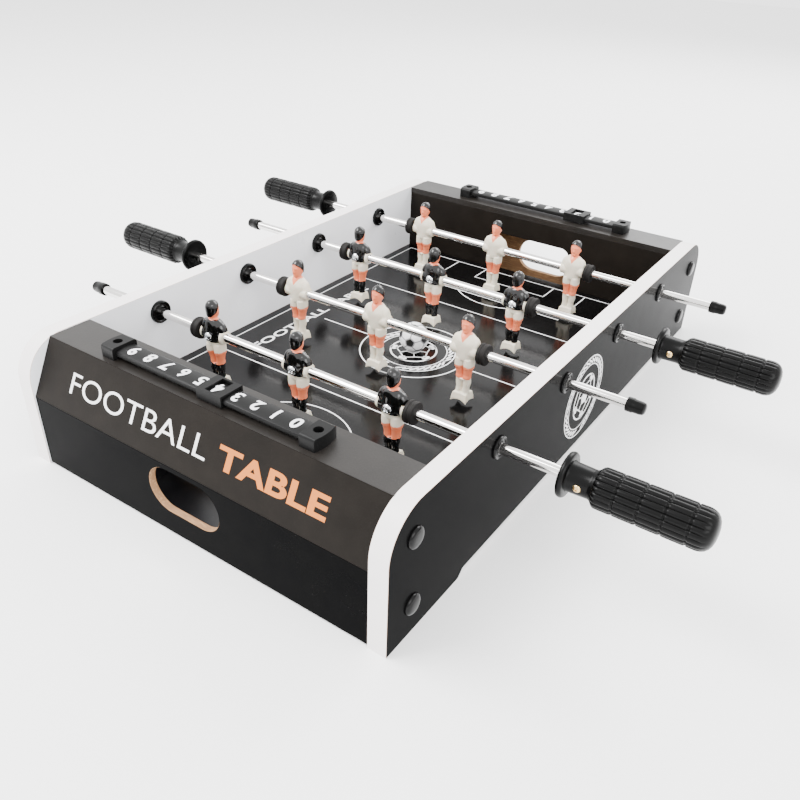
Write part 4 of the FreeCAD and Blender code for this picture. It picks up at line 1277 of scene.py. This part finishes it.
class FOOSBALL_OT_stage(bpy.types.Operator):
    """Pale floor, soft lights and the camera"""

    bl_idname = "foosball.stage"
    bl_label = "Stage"

    def execute(self, context):
        settings = context.scene.foosball_stage
        deselect()
        bpy.ops.mesh.primitive_plane_add(size=8, location=(0, 0, 0))
        floor = bpy.context.object
        floor.name = "floor"
        pale, _, skin = fresh("floor_pale")
        skin.inputs["Base Color"].default_value = (0.9, 0.9, 0.9, 1.0)
        skin.inputs["Roughness"].default_value = 0.9
        skin.inputs["Specular IOR Level"].default_value = 0.1
        floor.data.materials.append(pale)
        soft_light("key", (-0.9, -0.7, 1.5), 1.2, 75)
        soft_light("fill", (1.5, -0.9, 1.1), 1.4, 30)
        soft_light("back", (0.2, 1.6, 1.3), 1.5, 50)
        world = bpy.data.worlds.new("studio")
        world.use_nodes = True
        back = world.node_tree.nodes["Background"]
        back.inputs["Color"].default_value = (1.0, 1.0, 1.0, 1.0)
        back.inputs["Strength"].default_value = settings.world
        context.scene.world = world
        deselect()
        bpy.ops.object.camera_add()
        camera = bpy.context.object
        camera.name = "camera"
        camera.data.lens = settings.lens
        camera.data.sensor_width = 36
        camera.data.shift_x, camera.data.shift_y = settings.shift
        heading = Matrix.Rotation(math.radians(settings.azimuth), 3, "Z")
        tilt = Matrix.Rotation(math.radians(90 - settings.elevation), 3, "X")
        roll = Matrix.Rotation(math.radians(settings.roll), 3, "Z")
        camera.rotation_euler = (heading @ tilt @ roll).to_euler()
        camera.location = settings.place
        camera.data.clip_start = 0.01
        context.scene.camera = camera
        return {"FINISHED"}


# ---------------------------------------------------------------- panel and registration


STEPS = (FOOSBALL_OT_stage, FOOSBALL_OT_side_boards, FOOSBALL_OT_end_boards, FOOSBALL_OT_inside_boards,
         FOOSBALL_OT_bushings, FOOSBALL_OT_small_metal, FOOSBALL_OT_rods, FOOSBALL_OT_players,
         FOOSBALL_OT_score_counters, FOOSBALL_OT_print, FOOSBALL_OT_ball)
GROUPS = (("foosball_cabinet", FoosballCabinet), ("foosball_pitch", FoosballPitch),
          ("foosball_team", FoosballTeam), ("foosball_stage", FoosballStage))


class FOOSBALL_PT_table(bpy.types.Panel):
    bl_idname = "FOOSBALL_PT_table"
    bl_label = "Foosball Table"
    bl_space_type = "VIEW_3D"
    bl_region_type = "UI"
    bl_category = "Foosball"

    def draw(self, context):
        for attribute, group in GROUPS:
            column = self.layout.box().column()
            for key in group.__annotations__:
                column.prop(getattr(context.scene, attribute), key)
        for step in STEPS:
            self.layout.operator(step.bl_idname)


def register():
    for attribute, group in GROUPS:
        bpy.utils.register_class(group)
        setattr(bpy.types.Scene, attribute, PointerProperty(type=group))
    for step in STEPS:
        bpy.utils.register_class(step)
    bpy.utils.register_class(FOOSBALL_PT_table)


def unregister():
    bpy.utils.unregister_class(FOOSBALL_PT_table)
    for step in reversed(STEPS):
        bpy.utils.unregister_class(step)
    for attribute, group in reversed(GROUPS):
        delattr(bpy.types.Scene, attribute)
        bpy.utils.unregister_class(group)


def main():
    register()
    build_effects()
    for step in STEPS:
        getattr(bpy.ops.foosball, step.bl_idname.split(".")[1])()


if __name__ == "__main__":
    main()
